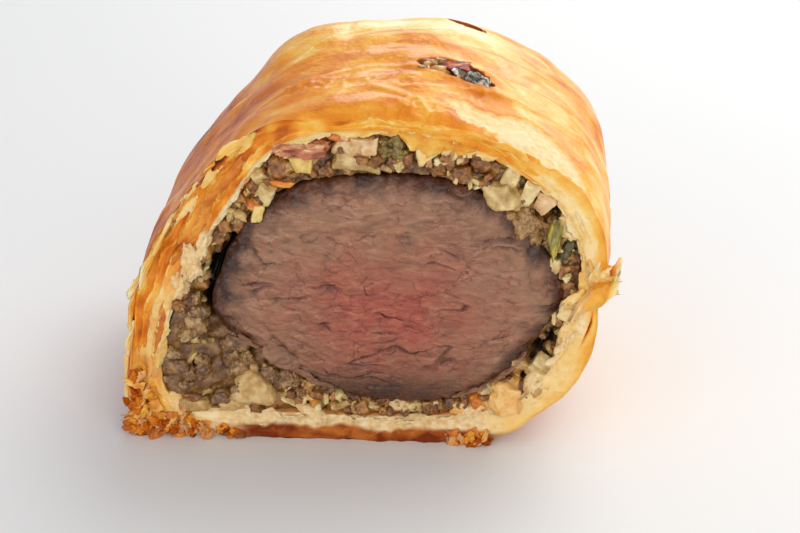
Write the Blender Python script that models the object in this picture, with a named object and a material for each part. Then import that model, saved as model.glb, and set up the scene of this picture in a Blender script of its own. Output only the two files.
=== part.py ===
"""Half a beef wellington, cut across: puff pastry crust, chopped mushroom filling and a beef fillet.

The cut face looks along -Y and the closed end is at +Y. The base lies on Z = 0, and the origin is on the
base, half way along the loaf. Every outline is drawn in the XZ plane, in metres.
"""

import math
import random

import bmesh
import bpy
import numpy as np
from mathutils import Matrix, Vector, noise

MM = 0.001

# Driving sizes
LENGTH = 80 * MM  # from the cut plane to the closed end
CUT_Y = -LENGTH / 2
SEGMENTS = 72  # round each section
SECTION_CENTRE = (4 * MM, 38 * MM)  # every outline is a radius about this point

END_WALL = 8 * MM  # crust left at the closed end
END_FILLING = 7 * MM  # filling between the end wall and the beef
SWELL = 2.4 * MM  # how much fuller the right side and the top grow behind the cut
SWELL_ANGLES = (38, 100)  # where it is fullest, and how far it spreads
END_ROUNDING = 25 * MM  # length over which the closed end rounds off
END_SQUARENESS = 3.0
END_CENTRE_Z = 33 * MM

GAP = 0.35 * MM  # between neighbouring solids
BEEF_BULGE = 2.6 * MM  # how far the cut beef stands proud of the cut plane
BEEF_EDGE = 2.2 * MM  # and how far its edge is drawn back behind it

# Outlines on the cut plane, right side first, then over the top, down the left and back along the base
CRUST_OUTLINE = [
    (29, 0.5), (39, 5), (47, 13), (52, 23), (54.5, 32), (55, 41), (54.5, 50), (51.5, 59), (45, 68), (35, 76),
    (21, 81.5), (5, 83), (-11, 82), (-23, 77), (-33, 67), (-42, 56), (-49, 45.5), (-53, 34),
    (-54.8, 22), (-55.5, 11), (-55, 3), (-50, -1), (-30, -2.5), (0, -3), (18, -2),
]
CAVITY_OUTLINE = [
    (28, 9), (36, 13), (42.5, 20), (47.5, 29), (50, 39), (50, 48), (47.5, 57), (41.5, 65), (31, 72.5),
    (19, 77), (5, 78.4), (-9.5, 77.3), (-20, 72), (-27.5, 62), (-34, 52), (-39.8, 42), (-43.8, 32),
    (-46.5, 21), (-46, 12), (-40, 8), (-25, 7), (0, 6.5), (16, 7),
]
BEEF_OUTLINE = [
    (17.5, 11), (29.5, 16), (36.5, 23), (42, 31), (45.8, 38.5), (46, 42.5), (42, 51), (36.5, 58.5),
    (28, 64.3), (17.7, 67.6), (6, 68.3), (-5, 67.3), (-14.5, 65), (-22.5, 59.6), (-28.5, 51),
    (-32.5, 42), (-34, 35), (-31.5, 29.4), (-25, 24.4), (-17, 19), (-7.6, 14), (4.3, 10.8),
]

# Depths behind the cut plane at which the sections are taken
OUTER_DEPTHS = [d * MM for d in (10, 14, 20, 27, 34, 41, 48, 55)]
CAVITY_DEPTHS = [d * MM for d in (4, 12, 24, 38, 47)]
BEEF_DEPTHS = [d * MM for d in (13, 38)]

# Turns, in degrees, at which the rounded ends are taken
OUTER_END_TURNS = (8, 18, 30, 42, 54, 66, 78, 90)
CAVITY_END_TURNS = (12, 30, 52, 74, 90)
BEEF_END_TURNS = (30, 60, 90)

# The left rim is broken back in steps, sheet by sheet
LEFT_RIM = (165, 55)  # middle and half width of that stretch, in degrees
SKIN_SETBACK = 7.5 * MM
SECOND_SETBACK = 3.8 * MM
RIM_JAG = 0.9 * MM
RIM_STEPS = ((1, 0), (0.7, 0), (0.66, 1), (0.38, 1), (0.34, 2), (0, 2))  # share of the wall, and sheet
TOP_RIM = (78, 62)  # stretch where the skin curls down over the cut, in degrees
CURL_DEPTH = 9 * MM

# The seam on the right, where the top sheet laps over the bottom one
SEAM_ANGLE = 3
SEAM_LIP = 5.4 * MM
SEAM_STEP = 1.3 * MM
SEAM_EDGE = 1 * MM  # how far the edge stands out once the lip has died down
SEAM_FLARE = 9 * MM  # depth over which the lip dies down to the step
SEAM_LENGTH = 54 * MM

# Steam slits in the top: x, depth behind the cut, half length, half width, turn in degrees
VENTS = [
    (20.5 * MM, 27 * MM, 8.6 * MM, 3.9 * MM, -20),
    (22 * MM, 61 * MM, 6.0 * MM, 2.6 * MM, -24),
]
VENT_LIP = 0.9 * MM  # how far the skin rises round a slit
VENT_FLOOR = 66 * MM  # heights that the slits are cut between
VENT_TOP = 92 * MM

# Relief of the baked skin: height and size of its swells and of its creases
SKIN_SWELLS = (1.5 * MM, 27 * MM)
SKIN_CREASES = (0.8 * MM, 16 * MM)

# Folds of the closed end: how far each flap stands out, and the height and side distance where it starts
TOP_FLAP = (1.8 * MM, 24 * MM)
SIDE_FLAP = (0.9 * MM, 14 * MM)

# Hollows in the cut filling: angle, share of the way from beef to crust, depth, spread in degrees and share
HOLLOWS = [
    (160, 0.10, 6.0 * MM, 6, 0.35),
    (172, 0.15, 7.5 * MM, 8, 0.40),
    (185, 0.05, 7.0 * MM, 7, 0.30),
    (205, 0.15, 5.0 * MM, 4, 0.20),
    (342, 0.55, 6.0 * MM, 7, 0.40),
    (329, 0.80, 5.0 * MM, 6, 0.30),
    (106, 0.80, 4.0 * MM, 3, 0.35),
    (77, 0.85, 4.0 * MM, 4, 0.30),
    (56, 0.75, 4.5 * MM, 4, 0.35),
    (31, 0.70, 4.5 * MM, 4, 0.35),
]

# Chopped pieces that show at the cut: angle, share of the way from beef to crust, length along the ring,
# thickness across it and reach along Y, in millimetres
CUT_PIECES = [
    (150, 0.60, 3.2, 2.4, 2.8), (142, 0.30, 4.4, 2.6, 2.8), (134, 0.40, 5.2, 3.2, 3.2),
    (128, 0.70, 3.4, 2.6, 2.8), (122, 0.60, 4.0, 3.4, 3.0), (116, 0.30, 4.6, 2.2, 2.4),
    (100, 0.70, 6.4, 3.2, 3.6), (97, 0.28, 6.0, 2.6, 3.4), (91, 0.70, 3.6, 3.2, 3.2),
    (85, 0.55, 5.0, 3.6, 3.4), (79, 0.30, 3.4, 2.4, 2.8), (72, 0.60, 4.2, 3.0, 3.2),
    (66, 0.40, 3.4, 2.6, 2.8), (60, 0.55, 3.8, 3.4, 3.4), (50, 0.70, 4.4, 3.2, 3.4),
    (45, 0.36, 6.0, 3.4, 3.8), (39, 0.72, 4.0, 2.8, 3.2), (36, 0.40, 4.8, 3.2, 3.0),
    (27, 0.30, 3.2, 2.6, 2.8), (24, 0.75, 3.4, 2.4, 3.0), (10, 0.70, 2.8, 2.0, 2.6),
    (354, 0.50, 3.0, 2.2, 2.6), (336, 0.80, 4.4, 2.8, 3.4), (334, 0.30, 3.0, 2.2, 2.6),
    (322, 0.60, 5.2, 3.4, 3.8), (313, 0.62, 4.8, 3.2, 3.6), (305, 0.55, 4.2, 2.8, 3.2),
    (297, 0.60, 3.2, 2.2, 2.6), (288, 0.50, 4.0, 2.0, 2.6), (277, 0.50, 3.4, 2.0, 2.4),
    (266, 0.50, 4.4, 2.0, 2.6), (256, 0.50, 4.0, 2.2, 2.8), (247, 0.50, 3.8, 2.6, 2.8),
    (239, 0.35, 3.4, 2.6, 2.8), (236, 0.70, 4.6, 3.4, 3.2), (229, 0.60, 4.6, 3.4, 3.0),
    (222, 0.75, 5.2, 3.6, 3.4), (215, 0.34, 6.0, 4.6, 4.0), (211, 0.76, 4.4, 3.8, 3.2),
    (206, 0.55, 4.6, 4.0, 3.6), (200, 0.34, 4.0, 2.6, 3.4), (197, 0.68, 4.6, 3.8, 3.2),
    (189, 0.70, 3.8, 3.0, 2.8), (180, 0.62, 3.4, 2.6, 2.6), (165, 0.70, 3.2, 2.4, 2.6),
]
PIECE_SEED = 11

# Flakes of pastry that stand off the left side: angle, depth, length, width, lift, turn in degrees
FLAKES = [
    (160, 11.0 * MM, 13 * MM, 9 * MM, 2.2 * MM, 80),
    (171, 10.5 * MM, 12 * MM, 8 * MM, 3.2 * MM, 52),
    (184, 10.0 * MM, 11 * MM, 9 * MM, 2.4 * MM, 68),
    (146, 12.5 * MM, 11 * MM, 7 * MM, 1.4 * MM, 80),
    (196, 9.5 * MM, 10 * MM, 9 * MM, 2.6 * MM, 50),
    (183, 36.0 * MM, 9 * MM, 8 * MM, 1.4 * MM, -60),
]
FLAKE_THICKNESS = 1.1 * MM

# Crumbs of crust at the foot of the cut: x, reach in front of the cut, height, half width
CRUMB_ROOT = 5 * MM
SKIRT_CRUMBS = [
    (-53.5 * MM, 0.8 * MM, 7.5 * MM, 4.6 * MM),
    (-49.0 * MM, 3.4 * MM, 5.6 * MM, 3.4 * MM),
    (-42.5 * MM, 2.6 * MM, 4.4 * MM, 3.0 * MM),
    (-30.0 * MM, 0.6 * MM, 2.6 * MM, 5.0 * MM),
    (25.0 * MM, 1.2 * MM, 3.8 * MM, 3.4 * MM),
]

CRUST_COLOUR = (0.72, 0.36, 0.10, 1)
FILLING_COLOUR = (0.42, 0.30, 0.17, 1)
BEEF_COLOUR = (0.36, 0.19, 0.15, 1)
BACON_COLOUR = (0.42, 0.16, 0.10, 1)
GREEN_COLOUR = (0.34, 0.36, 0.05, 1)
RED_COLOUR = (0.45, 0.06, 0.02, 1)
DARK_COLOUR = (0.06, 0.06, 0.03, 1)


def clear_scene():
    for obj in list(bpy.data.objects):
        bpy.data.objects.remove(obj)


def collection(name):
    made = bpy.data.collections.new(name)
    bpy.context.scene.collection.children.link(made)
    return made


def material(name, colour, roughness):
    made = bpy.data.materials.new(name)
    made.use_nodes = True
    shader = made.node_tree.nodes["Principled BSDF"]
    shader.inputs["Base Color"].default_value = colour
    shader.inputs["Roughness"].default_value = roughness
    return made


def smooth(low, high, value):
    """0 below low, 1 above high, and a smooth rise between them."""
    share = min(1.0, max(0.0, (value - low) / (high - low)))
    return share * share * (3 - 2 * share)


def turn_between(angle, middle):
    """How far angle lies from middle, in degrees, from -180 to 180."""
    return (angle - middle + 180) % 360 - 180


def bump(angle, middle, half_width):
    """1 at the middle angle, falling smoothly to 0 at half_width degrees either side."""
    return 1 - smooth(0, half_width, abs(turn_between(angle, middle)))


def rough(x, y, z, scale):
    """Even noise from about -1 to 1, with lumps of the given size in metres."""
    return noise.noise(Vector((x, y, z)) / scale)


def radius_of(outline):
    """The outline as a radius for each angle in degrees: a closed Catmull-Rom spline through its points."""
    points = np.array(outline) * MM - np.array(SECTION_CENTRE)
    before, after = np.roll(points, 1, axis=0), np.roll(points, -1, axis=0)
    beyond = np.roll(points, -2, axis=0)
    sampled = []
    for t in np.linspace(0, 1, 16, endpoint=False):
        sampled.append(
            0.5 * (2 * points + (after - before) * t + (2 * before - 5 * points + 4 * after - beyond) * t**2
                   + (3 * points - before - 3 * after + beyond) * t**3)
        )
    line = np.concatenate(sampled)
    angles = np.degrees(np.arctan2(line[:, 1], line[:, 0])) % 360
    order = np.argsort(angles)
    angles, radii = angles[order], np.hypot(line[:, 0], line[:, 1])[order]

    def radius(angle):
        return float(np.interp(angle % 360, angles, radii, period=360))

    return radius


crust_radius = radius_of(CRUST_OUTLINE)
cavity_radius = radius_of(CAVITY_OUTLINE)
beef_radius = radius_of(BEEF_OUTLINE)


def section_point(radius, angle, depth):
    """The point of a section at that radius and angle, at a depth behind the cut plane."""
    a = math.radians(angle)
    return Vector((SECTION_CENTRE[0] + radius * math.cos(a), CUT_Y + depth,
                   SECTION_CENTRE[1] + radius * math.sin(a)))


def rounded_end(point, rounding, end_depth, turn):
    """The point carried along the rounded end. The turn is 0 where it starts to round and 90 at the pole."""
    share = math.cos(math.radians(turn)) ** (2 / END_SQUARENESS) if turn < 90 else 0.0
    reach = math.sin(math.radians(turn)) ** (2 / END_SQUARENESS)
    lowness = 1 - smooth(0, 30 * MM, point.z)
    lift = (1 - share) ** (1 + lowness)
    x = SECTION_CENTRE[0] + (point.x - SECTION_CENTRE[0]) * share
    z = point.z + (END_CENTRE_Z - point.z) * (lift if turn < 90 else 1.0)
    return Vector((x, CUT_Y + end_depth - rounding + rounding * reach, z))


def mesh_of(name, bm):
    """The finished mesh, with its faces turned outwards."""
    bm.normal_update()
    bmesh.ops.recalc_face_normals(bm, faces=bm.faces)
    mesh = bpy.data.meshes.new(name)
    bm.to_mesh(mesh)
    bm.free()
    return mesh


def shape_rows(name, rows, segments=SEGMENTS):
    """A closed mesh from rows of points. Each row is a function of the angle, and the ends are poles."""
    bm = bmesh.new()
    steps = len(rows) - 1
    bmesh.ops.create_uvsphere(bm, u_segments=segments, v_segments=steps, radius=1)
    for vertex in bm.verts:
        row = round(math.acos(max(-1.0, min(1.0, vertex.co.z))) / math.pi * steps)
        angle = math.degrees(math.atan2(vertex.co.y, vertex.co.x)) % 360
        vertex.co = rows[row](angle)
    return mesh_of(name, bm)


def add_object(name, mesh, where, finish=None):
    obj = bpy.data.objects.new(name, mesh)
    where.objects.link(obj)
    if finish:
        mesh.materials.append(finish)
    mesh.shade_smooth()
    return obj


def combine(obj, others, operation):
    """Joins or cuts obj with all the objects of a collection, applies it and removes them."""
    modifier = obj.modifiers.new(operation.title(), "BOOLEAN")
    modifier.operation = operation
    modifier.operand_type = "COLLECTION"
    modifier.collection = others
    modifier.solver = "MANIFOLD"
    graph = bpy.context.evaluated_depsgraph_get()
    result = bpy.data.meshes.new_from_object(obj.evaluated_get(graph))
    obj.modifiers.clear()
    obj.data = result
    for other in list(others.objects):
        bpy.data.objects.remove(other)
    bpy.data.collections.remove(others)


# Crust

def wall(angle):
    return crust_radius(angle) - cavity_radius(angle)


def vent_lips(x, depth, z):
    """The skin's rise round the steam slits."""
    rise = 0.0
    if z < 60 * MM:
        return rise
    for centre, behind, half_length, half_width, turn in VENTS:
        t = math.radians(turn)
        dx, dy = x - centre, depth - behind
        along = (dx * math.cos(t) + dy * math.sin(t)) / half_length
        across = (dy * math.cos(t) - dx * math.sin(t)) / half_width
        rise += VENT_LIP * math.exp(-((math.hypot(along, across) - 1.2) / 0.45) ** 2)
    return rise


def crust_relief(angle, depth):
    """Swells and creases of the baked skin, and its fuller girth behind the cut."""
    x = SECTION_CENTRE[0] + crust_radius(angle) * math.cos(math.radians(angle))
    z = SECTION_CENTRE[1] + crust_radius(angle) * math.sin(math.radians(angle))
    swells = SKIN_SWELLS[0] * rough(x, depth, z, SKIN_SWELLS[1])
    creases = SKIN_CREASES[0] * rough(x + 0.3 * z, depth * 2.4, z, SKIN_CREASES[1])
    girth = SWELL * smooth(2 * MM, 32 * MM, depth) * bump(angle, *SWELL_ANGLES)
    return (swells + creases) * smooth(0, 8 * MM, z) + girth + vent_lips(x, depth, z)


def seam_step(angle, depth):
    """The top sheet stands proud of the bottom one above the seam on the right."""
    above = smooth(-4, 4, turn_between(angle, SEAM_ANGLE + 4))
    fades = 1 - smooth(20, 70, turn_between(angle, SEAM_ANGLE))
    return SEAM_STEP * above * fades if 0 < turn_between(angle, SEAM_ANGLE) + 8 < 90 else 0.0


def end_fold(point):
    """Relief of the closed end, where the side flaps are tucked in under the top one."""
    if point.y < CUT_Y + LENGTH - END_ROUNDING:
        return 0.0
    x, z = point.x - SECTION_CENTRE[0], point.z
    behind = smooth(CUT_Y + LENGTH - 0.6 * END_ROUNDING, CUT_Y + LENGTH - 0.2 * END_ROUNDING, point.y)
    top_flap = TOP_FLAP[0] * smooth(-2 * MM, 2 * MM, z - TOP_FLAP[1] - 0.35 * abs(x))
    side_flaps = SIDE_FLAP[0] * smooth(-3 * MM, 3 * MM, abs(x) - SIDE_FLAP[1] - 0.25 * z)
    return (top_flap + side_flaps) * behind


def outer_radius(angle, depth):
    """The crust's outer radius, with its relief, the seam and the rim's curl."""
    radius = crust_radius(angle) + crust_relief(angle, depth) + seam_step(angle, depth)
    curl = bump(angle, *TOP_RIM) * (1 - smooth(0, 1, (depth + 1 * MM) / CURL_DEPTH)) ** 1.5
    return radius - 0.62 * wall(angle) * curl


def on_base(point):
    """Keeps a crust point on or above the flat base."""
    return Vector((point.x, point.y, max(0.0, point.z)))


def outer_row(depth):
    return lambda angle: on_base(section_point(outer_radius(angle, depth), angle, depth))


def outer_end_row(turn):
    def row(angle):
        depth = LENGTH - END_ROUNDING
        start = on_base(section_point(outer_radius(angle, depth), angle, depth))
        point = rounded_end(start, END_ROUNDING, LENGTH, turn)
        inward = Vector((SECTION_CENTRE[0], CUT_Y + LENGTH / 2, END_CENTRE_Z)) - point
        shift = end_fold(point) * smooth(0, 30, turn)
        return on_base(point - inward.normalized() * shift)
    return row


def rim_depth(angle, sheet):
    """How far behind the cut plane the rim lies: sheet 0 is the skin, 1 the middle and 2 the inner edge."""
    left = bump(angle, *LEFT_RIM) ** 0.6
    jag = RIM_JAG * rough(angle * 0.9 * MM, sheet * 30 * MM, 0.0, 5 * MM)
    setback = (1.0 * MM + SKIN_SETBACK * left, 0.5 * MM + SECOND_SETBACK * left, 0.6 * MM)[sheet]
    return max(0.0, setback + jag)


def rim_row(share, sheet):
    """A row of the rim, at that share of the way from the cavity to the skin."""
    def row(angle):
        depth = rim_depth(angle, sheet)
        outer = outer_radius(angle, rim_depth(angle, 0))
        inner = cavity_radius(angle)
        return on_base(section_point(inner + (outer - inner) * share, angle, depth))
    return row


def shoulder_row(angle):
    depth = (rim_depth(angle, 0) + OUTER_DEPTHS[0]) / 2
    return on_base(section_point(outer_radius(angle, depth), angle, depth))


def cavity_row(depth):
    return lambda angle: section_point(cavity_radius(angle), angle, depth)


def cavity_end_row(turn, inward=0.0):
    def row(angle):
        start = section_point(cavity_radius(angle) - inward, angle, 0)
        rounding = END_ROUNDING - inward
        return rounded_end(start, rounding, LENGTH - END_WALL - inward, turn)
    return row


def crust_rows():
    rows = [outer_end_row(turn) for turn in reversed(OUTER_END_TURNS)]
    rows += [outer_row(depth) for depth in reversed(OUTER_DEPTHS)]
    rows += [shoulder_row]
    rows += [rim_row(share, sheet) for share, sheet in RIM_STEPS]
    rows += [cavity_row(depth) for depth in CAVITY_DEPTHS]
    rows += [cavity_end_row(turn) for turn in CAVITY_END_TURNS]
    return rows


def seam_lip():
    """The flared edge of the top sheet, on the right: a tongue across the rim that dies down behind it."""
    bm = bmesh.new()
    bmesh.ops.create_grid(bm, x_segments=10, y_segments=3, size=0.5)
    bmesh.ops.solidify(bm, geom=bm.faces[:], thickness=1)
    for vertex in bm.verts:
        along, across, level = vertex.co.x + 0.5, vertex.co.y + 0.5, vertex.co.z
        depth = -1.3 * MM + along**1.5 * SEAM_LENGTH
        flare = math.exp(-((depth / SEAM_FLARE) ** 2))
        ragged = 0.7 * MM * rough(depth, across * 9 * MM, 0, 4 * MM)
        tip = outer_radius(SEAM_ANGLE, depth) + SEAM_EDGE + (SEAM_LIP - SEAM_EDGE) * flare + ragged
        root = cavity_radius(SEAM_ANGLE) + 0.6 * MM + (1 - flare) * 0.5 * wall(SEAM_ANGLE)
        rise = flare * (5.5 * MM * (across - 0.3) + 0.8 * MM * math.sin(7 * across)) + 0.7 * ragged
        half = 1.7 * MM * (1 - 0.45 * across) + 0.5 * MM * flare
        side = half if level > -0.5 else -half
        point = section_point(root + (tip - root) * across, SEAM_ANGLE, depth)
        vertex.co = point + Vector((0, 0, rise + side))
    return mesh_of("seam_lip", bm)


def flake_mesh(angle, depth, length, width, lift, turn):
    """A thin curled leaf of pastry, rooted in the crust's side and lifting off towards its tip."""
    bm = bmesh.new()
    bmesh.ops.create_grid(bm, x_segments=3, y_segments=2, size=0.5)
    bmesh.ops.solidify(bm, geom=bm.faces[:], thickness=1)
    a = math.radians(angle)
    outward = Vector((math.cos(a), 0, math.sin(a)))
    round_section = Vector((-math.sin(a), 0, math.cos(a)))
    t = math.radians(turn)
    along = round_section * math.sin(t) - Vector((0, 1, 0)) * math.cos(t)
    across = outward.cross(along)
    root = section_point(outer_radius(angle, depth), angle, depth)
    for vertex in bm.verts:
        u, v, level = vertex.co.x + 0.5, vertex.co.y, vertex.co.z
        spread = width * v * (1 - 0.72 * u) + 0.6 * MM * rough(u * length, v * width, angle * MM, 4 * MM)
        rise = -0.9 * MM + lift * u**1.6 + 0.9 * MM * u
        thickness = FLAKE_THICKNESS * (1 - 0.45 * u)
        vertex.co = (root + along * length * (u - 0.25) + across * spread
                     + outward * (rise - (thickness if level <= -0.5 else 0)))
        vertex.co.z = max(0.0, vertex.co.z)
    return mesh_of("flake", bm)


def vent_cutter(x, depth, half_length, half_width, turn):
    """A pointed oval plug, upright, through the crust's top."""
    bm = bmesh.new()
    bmesh.ops.create_cone(bm, cap_ends=True, segments=16, radius1=1, radius2=1, depth=1)
    spin = Matrix.Rotation(math.radians(turn), 4, "Z")
    for vertex in bm.verts:
        a = math.atan2(vertex.co.y, vertex.co.x)
        oval = Vector((half_length * math.cos(a), half_width * math.sin(a) * abs(math.sin(a)) ** 0.35, 0))
        widen, z = (1.18, VENT_TOP) if vertex.co.z > 0 else (0.92, VENT_FLOOR)
        vertex.co = spin @ (oval * widen) + Vector((x, CUT_Y + depth, z))
    return mesh_of("vent", bm)


def skirt_crumb(x, reach, height, half_width):
    """A ragged crumb of crust at the foot of the cut, lying on the base and pointing out of it."""
    bm = bmesh.new()
    bmesh.ops.create_icosphere(bm, subdivisions=2, radius=1)
    length = (reach + CRUMB_ROOT) / 2
    for vertex in bm.verts:
        lump = 1 + 0.3 * rough(vertex.co.x * 4 * MM + x, vertex.co.y * 4 * MM, vertex.co.z * 4 * MM, 3 * MM)
        lump *= 1 - 0.25 * max(0.0, -vertex.co.y)
        spot = Vector((vertex.co.x * half_width, vertex.co.y * length, vertex.co.z * 0.62 * height)) * lump
        spot += Vector((x, CUT_Y + CRUMB_ROOT - length, 0.38 * height))
        vertex.co = on_base(spot)
    return mesh_of("crumb", bm)


def make_crust(parts, finish):
    crust = add_object("crust", shape_rows("crust", crust_rows()), parts, finish)
    additions = collection("crust additions")
    add_object("seam_lip", seam_lip(), additions)
    for flake in FLAKES:
        add_object("flake", flake_mesh(*flake), additions)
    for crumb in SKIRT_CRUMBS:
        add_object("crumb", skirt_crumb(*crumb), additions)
    combine(crust, additions, "UNION")
    cuts = collection("crust cuts")
    for vent in VENTS:
        add_object("vent", vent_cutter(*vent), cuts)
    combine(crust, cuts, "DIFFERENCE")
    return crust


# Filling

def ring_radius(angle, share):
    """A radius between the beef and the crust, a gap clear of both at shares 0 and 1."""
    inner = beef_radius(angle) + GAP
    outer = cavity_radius(angle) - GAP
    return inner + (outer - inner) * share


def filling_depth(angle, share):
    """How far the cut face of the filling lies behind the cut plane."""
    depth = 2.6 * MM + 0.8 * MM * rough(angle * MM, share * 8 * MM, 0, 6 * MM)
    for middle, centre, deep, spread, width in HOLLOWS:
        near = (turn_between(angle, middle) / spread) ** 2 + ((share - centre) / width) ** 2
        depth += deep * math.exp(-near)
    return depth


def filling_face_row(share):
    def row(angle):
        return section_point(ring_radius(angle, share), angle, filling_depth(angle, share))
    return row


def filling_row(share, depth):
    return lambda angle: section_point(ring_radius(angle, share), angle, depth)


def beef_end_row(turn, outward=0.0):
    """A row of the beef's rounded end, or of the hollow in the filling that holds it."""
    def row(angle):
        start = section_point(beef_radius(angle) + outward, angle, 0)
        end = LENGTH - END_WALL - END_FILLING + outward
        return rounded_end(start, END_ROUNDING + outward, end, turn)
    return row


def filling_rows():
    rows = [cavity_end_row(turn, GAP) for turn in reversed(CAVITY_END_TURNS)]
    rows += [filling_row(1, depth) for depth in reversed(CAVITY_DEPTHS[2:])]
    rows += [filling_row(1, BEEF_DEPTHS[0])]
    rows += [filling_face_row(share) for share in (1, 0.68, 0.34, 0)]
    rows += [filling_row(0, depth) for depth in BEEF_DEPTHS]
    rows += [beef_end_row(turn, GAP) for turn in BEEF_END_TURNS]
    return rows


def chunk_mesh(place, size, turn, draw):
    """A chopped piece: a rough lump with flat faces, size being its half extents."""
    bm = bmesh.new()
    bmesh.ops.create_icosphere(bm, subdivisions=1, radius=1)
    spin = Matrix.Rotation(turn, 3, "Y") @ Matrix.Rotation(draw.uniform(-0.4, 0.4), 3, "X")
    for vertex in bm.verts:
        jitter = Vector([draw.uniform(0.82, 1.12) for _ in range(3)])
        vertex.co = place + spin @ Vector([c * s * j for c, s, j in zip(vertex.co, size, jitter)])
    return mesh_of("chunk", bm)


def vent_floor(filling, x, depth):
    """The point of the filling's top that lies under a vent."""
    bpy.context.view_layer.update()
    return filling.ray_cast(Vector((x, CUT_Y + depth, 2 * LENGTH)), Vector((0, 0, -1)))[1]


def make_filling(parts, finish):
    filling = add_object("filling", shape_rows("filling", filling_rows()), parts, finish)
    pieces = collection("filling pieces")
    draw = random.Random(PIECE_SEED)
    for angle, share, along, across, reach in CUT_PIECES:
        room = 0.5 * (ring_radius(angle, 1) - ring_radius(angle, 0))
        clear = room * (1 - abs(2 * share - 1))
        thick = min(across * MM, 0.86 * clear)
        depth = filling_depth(angle, share) + 0.25 * reach * MM
        place = section_point(ring_radius(angle, share), angle, depth)
        size = (thick, reach * MM, 0.72 * along * MM)
        chunk = chunk_mesh(place, size, -math.radians(angle), draw)
        add_object("chunk", chunk, pieces)
    for x, depth, half_length, half_width, turn in VENTS:
        floor = vent_floor(filling, x, depth)
        plug = chunk_mesh(Vector((0, 0, 0)), (0.66 * half_length, 0.58 * half_width, 3.4 * MM), 0, draw)
        plug.transform(Matrix.Translation(floor) @ Matrix.Rotation(math.radians(turn), 4, "Z"))
        add_object("plug", plug, pieces)
    combine(filling, pieces, "UNION")
    return filling


# Beef

def beef_face_row(share):
    """A ring of the cut face, which bulges and has the coarse grain of the meat."""
    def row(angle):
        radius = beef_radius(angle) * share
        point = section_point(radius, angle, 0)
        swell = BEEF_BULGE * (1 - share**4)
        grain = 0.8 * MM * rough(point.x * 0.45, 0, point.z * 1.5, 5 * MM) * (1 - share**6)
        return section_point(radius, angle, BEEF_EDGE * share**12 - swell + grain)
    return row


def make_beef(parts, finish):
    rows = [beef_face_row(share) for share in (0, 0.17, 0.33, 0.48, 0.62, 0.75, 0.87, 0.96)]
    rows += [lambda angle: section_point(beef_radius(angle), angle, 2 * BEEF_EDGE)]
    rows += [lambda angle, d=depth: section_point(beef_radius(angle), angle, d) for depth in BEEF_DEPTHS]
    rows += [beef_end_row(turn) for turn in BEEF_END_TURNS]
    return add_object("beef", shape_rows("beef", rows), parts, finish)


# Larger pieces that stand apart from the filling

def make_morsel(name, parts, finish, place, size, turns, seed):
    """One larger piece: a box with worn corners, bent a little and turned by degrees about X, Y and Z."""
    bm = bmesh.new()
    bmesh.ops.create_cube(bm, size=2)
    bmesh.ops.bevel(bm, geom=bm.edges[:], offset=0.45, affect="EDGES", segments=1, profile=0.5, material=-1)
    draw = random.Random(seed)
    x, y, z = [math.radians(turn) for turn in turns]
    turned = Matrix.Rotation(y, 3, "Y") @ Matrix.Rotation(z, 3, "Z") @ Matrix.Rotation(x, 3, "X")
    for vertex in bm.verts:
        local = Vector([c * s for c, s in zip(vertex.co, size)])
        local.z += 0.12 * size[2] * draw.uniform(-1, 1) - 0.3 * size[2] * vertex.co.x**2
        vertex.co = turned @ local + place
    return add_object(name, mesh_of(name, bm), parts, finish)


def make_morsels(parts, filling):
    """The bacon and green pepper at the cut, and what pokes out of a slit. Sizes are half extents."""
    bacon = material("bacon", BACON_COLOUR, 0.4)
    place = section_point(ring_radius(113, 0.74), 113, -0.5 * MM)
    make_morsel("bacon_piece", parts, bacon, place, (4.3 * MM, 1.6 * MM, 1.5 * MM), (0, 0, 0), 3)
    green = material("green pepper", GREEN_COLOUR, 0.3)
    place = section_point(ring_radius(20, 0.42), 20, -1.6 * MM)
    make_morsel("green_piece", parts, green, place, (1.5 * MM, 1.3 * MM, 5.0 * MM), (0, -18, 0), 4)
    floor = vent_floor(filling, VENTS[0][0], VENTS[0][1])
    red = material("red pepper", RED_COLOUR, 0.2)
    place = floor + Vector((-1 * MM, 1.7 * MM, 4 * MM))
    make_morsel("red_piece", parts, red, place, (3.0 * MM, 1.2 * MM, 1.5 * MM), (14, 4, -18), 5)
    dark = material("dark skin", DARK_COLOUR, 0.15)
    place = floor + Vector((1.5 * MM, -2.3 * MM, 3.6 * MM))
    make_morsel("dark_piece", parts, dark, place, (2.6 * MM, 0.8 * MM, 1.1 * MM), (-14, 6, -20), 6)


def build():
    clear_scene()
    parts = collection("Beef wellington")
    make_crust(parts, material("baked puff pastry", CRUST_COLOUR, 0.35))
    filling = make_filling(parts, material("mushroom filling", FILLING_COLOUR, 0.6))
    make_beef(parts, material("roast beef", BEEF_COLOUR, 0.45))
    make_morsels(parts, filling)


build()
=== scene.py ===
"""Half a beef wellington, cut across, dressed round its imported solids.

The cut face looks along -Y. A section point is given by its angle and radius about SECTION_CENTRE, in the
XZ plane, and by its depth behind the cut.
"""
import functools
import math
import random

import bmesh
import bpy
import numpy as np
from mathutils import Matrix, Vector, noise


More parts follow.
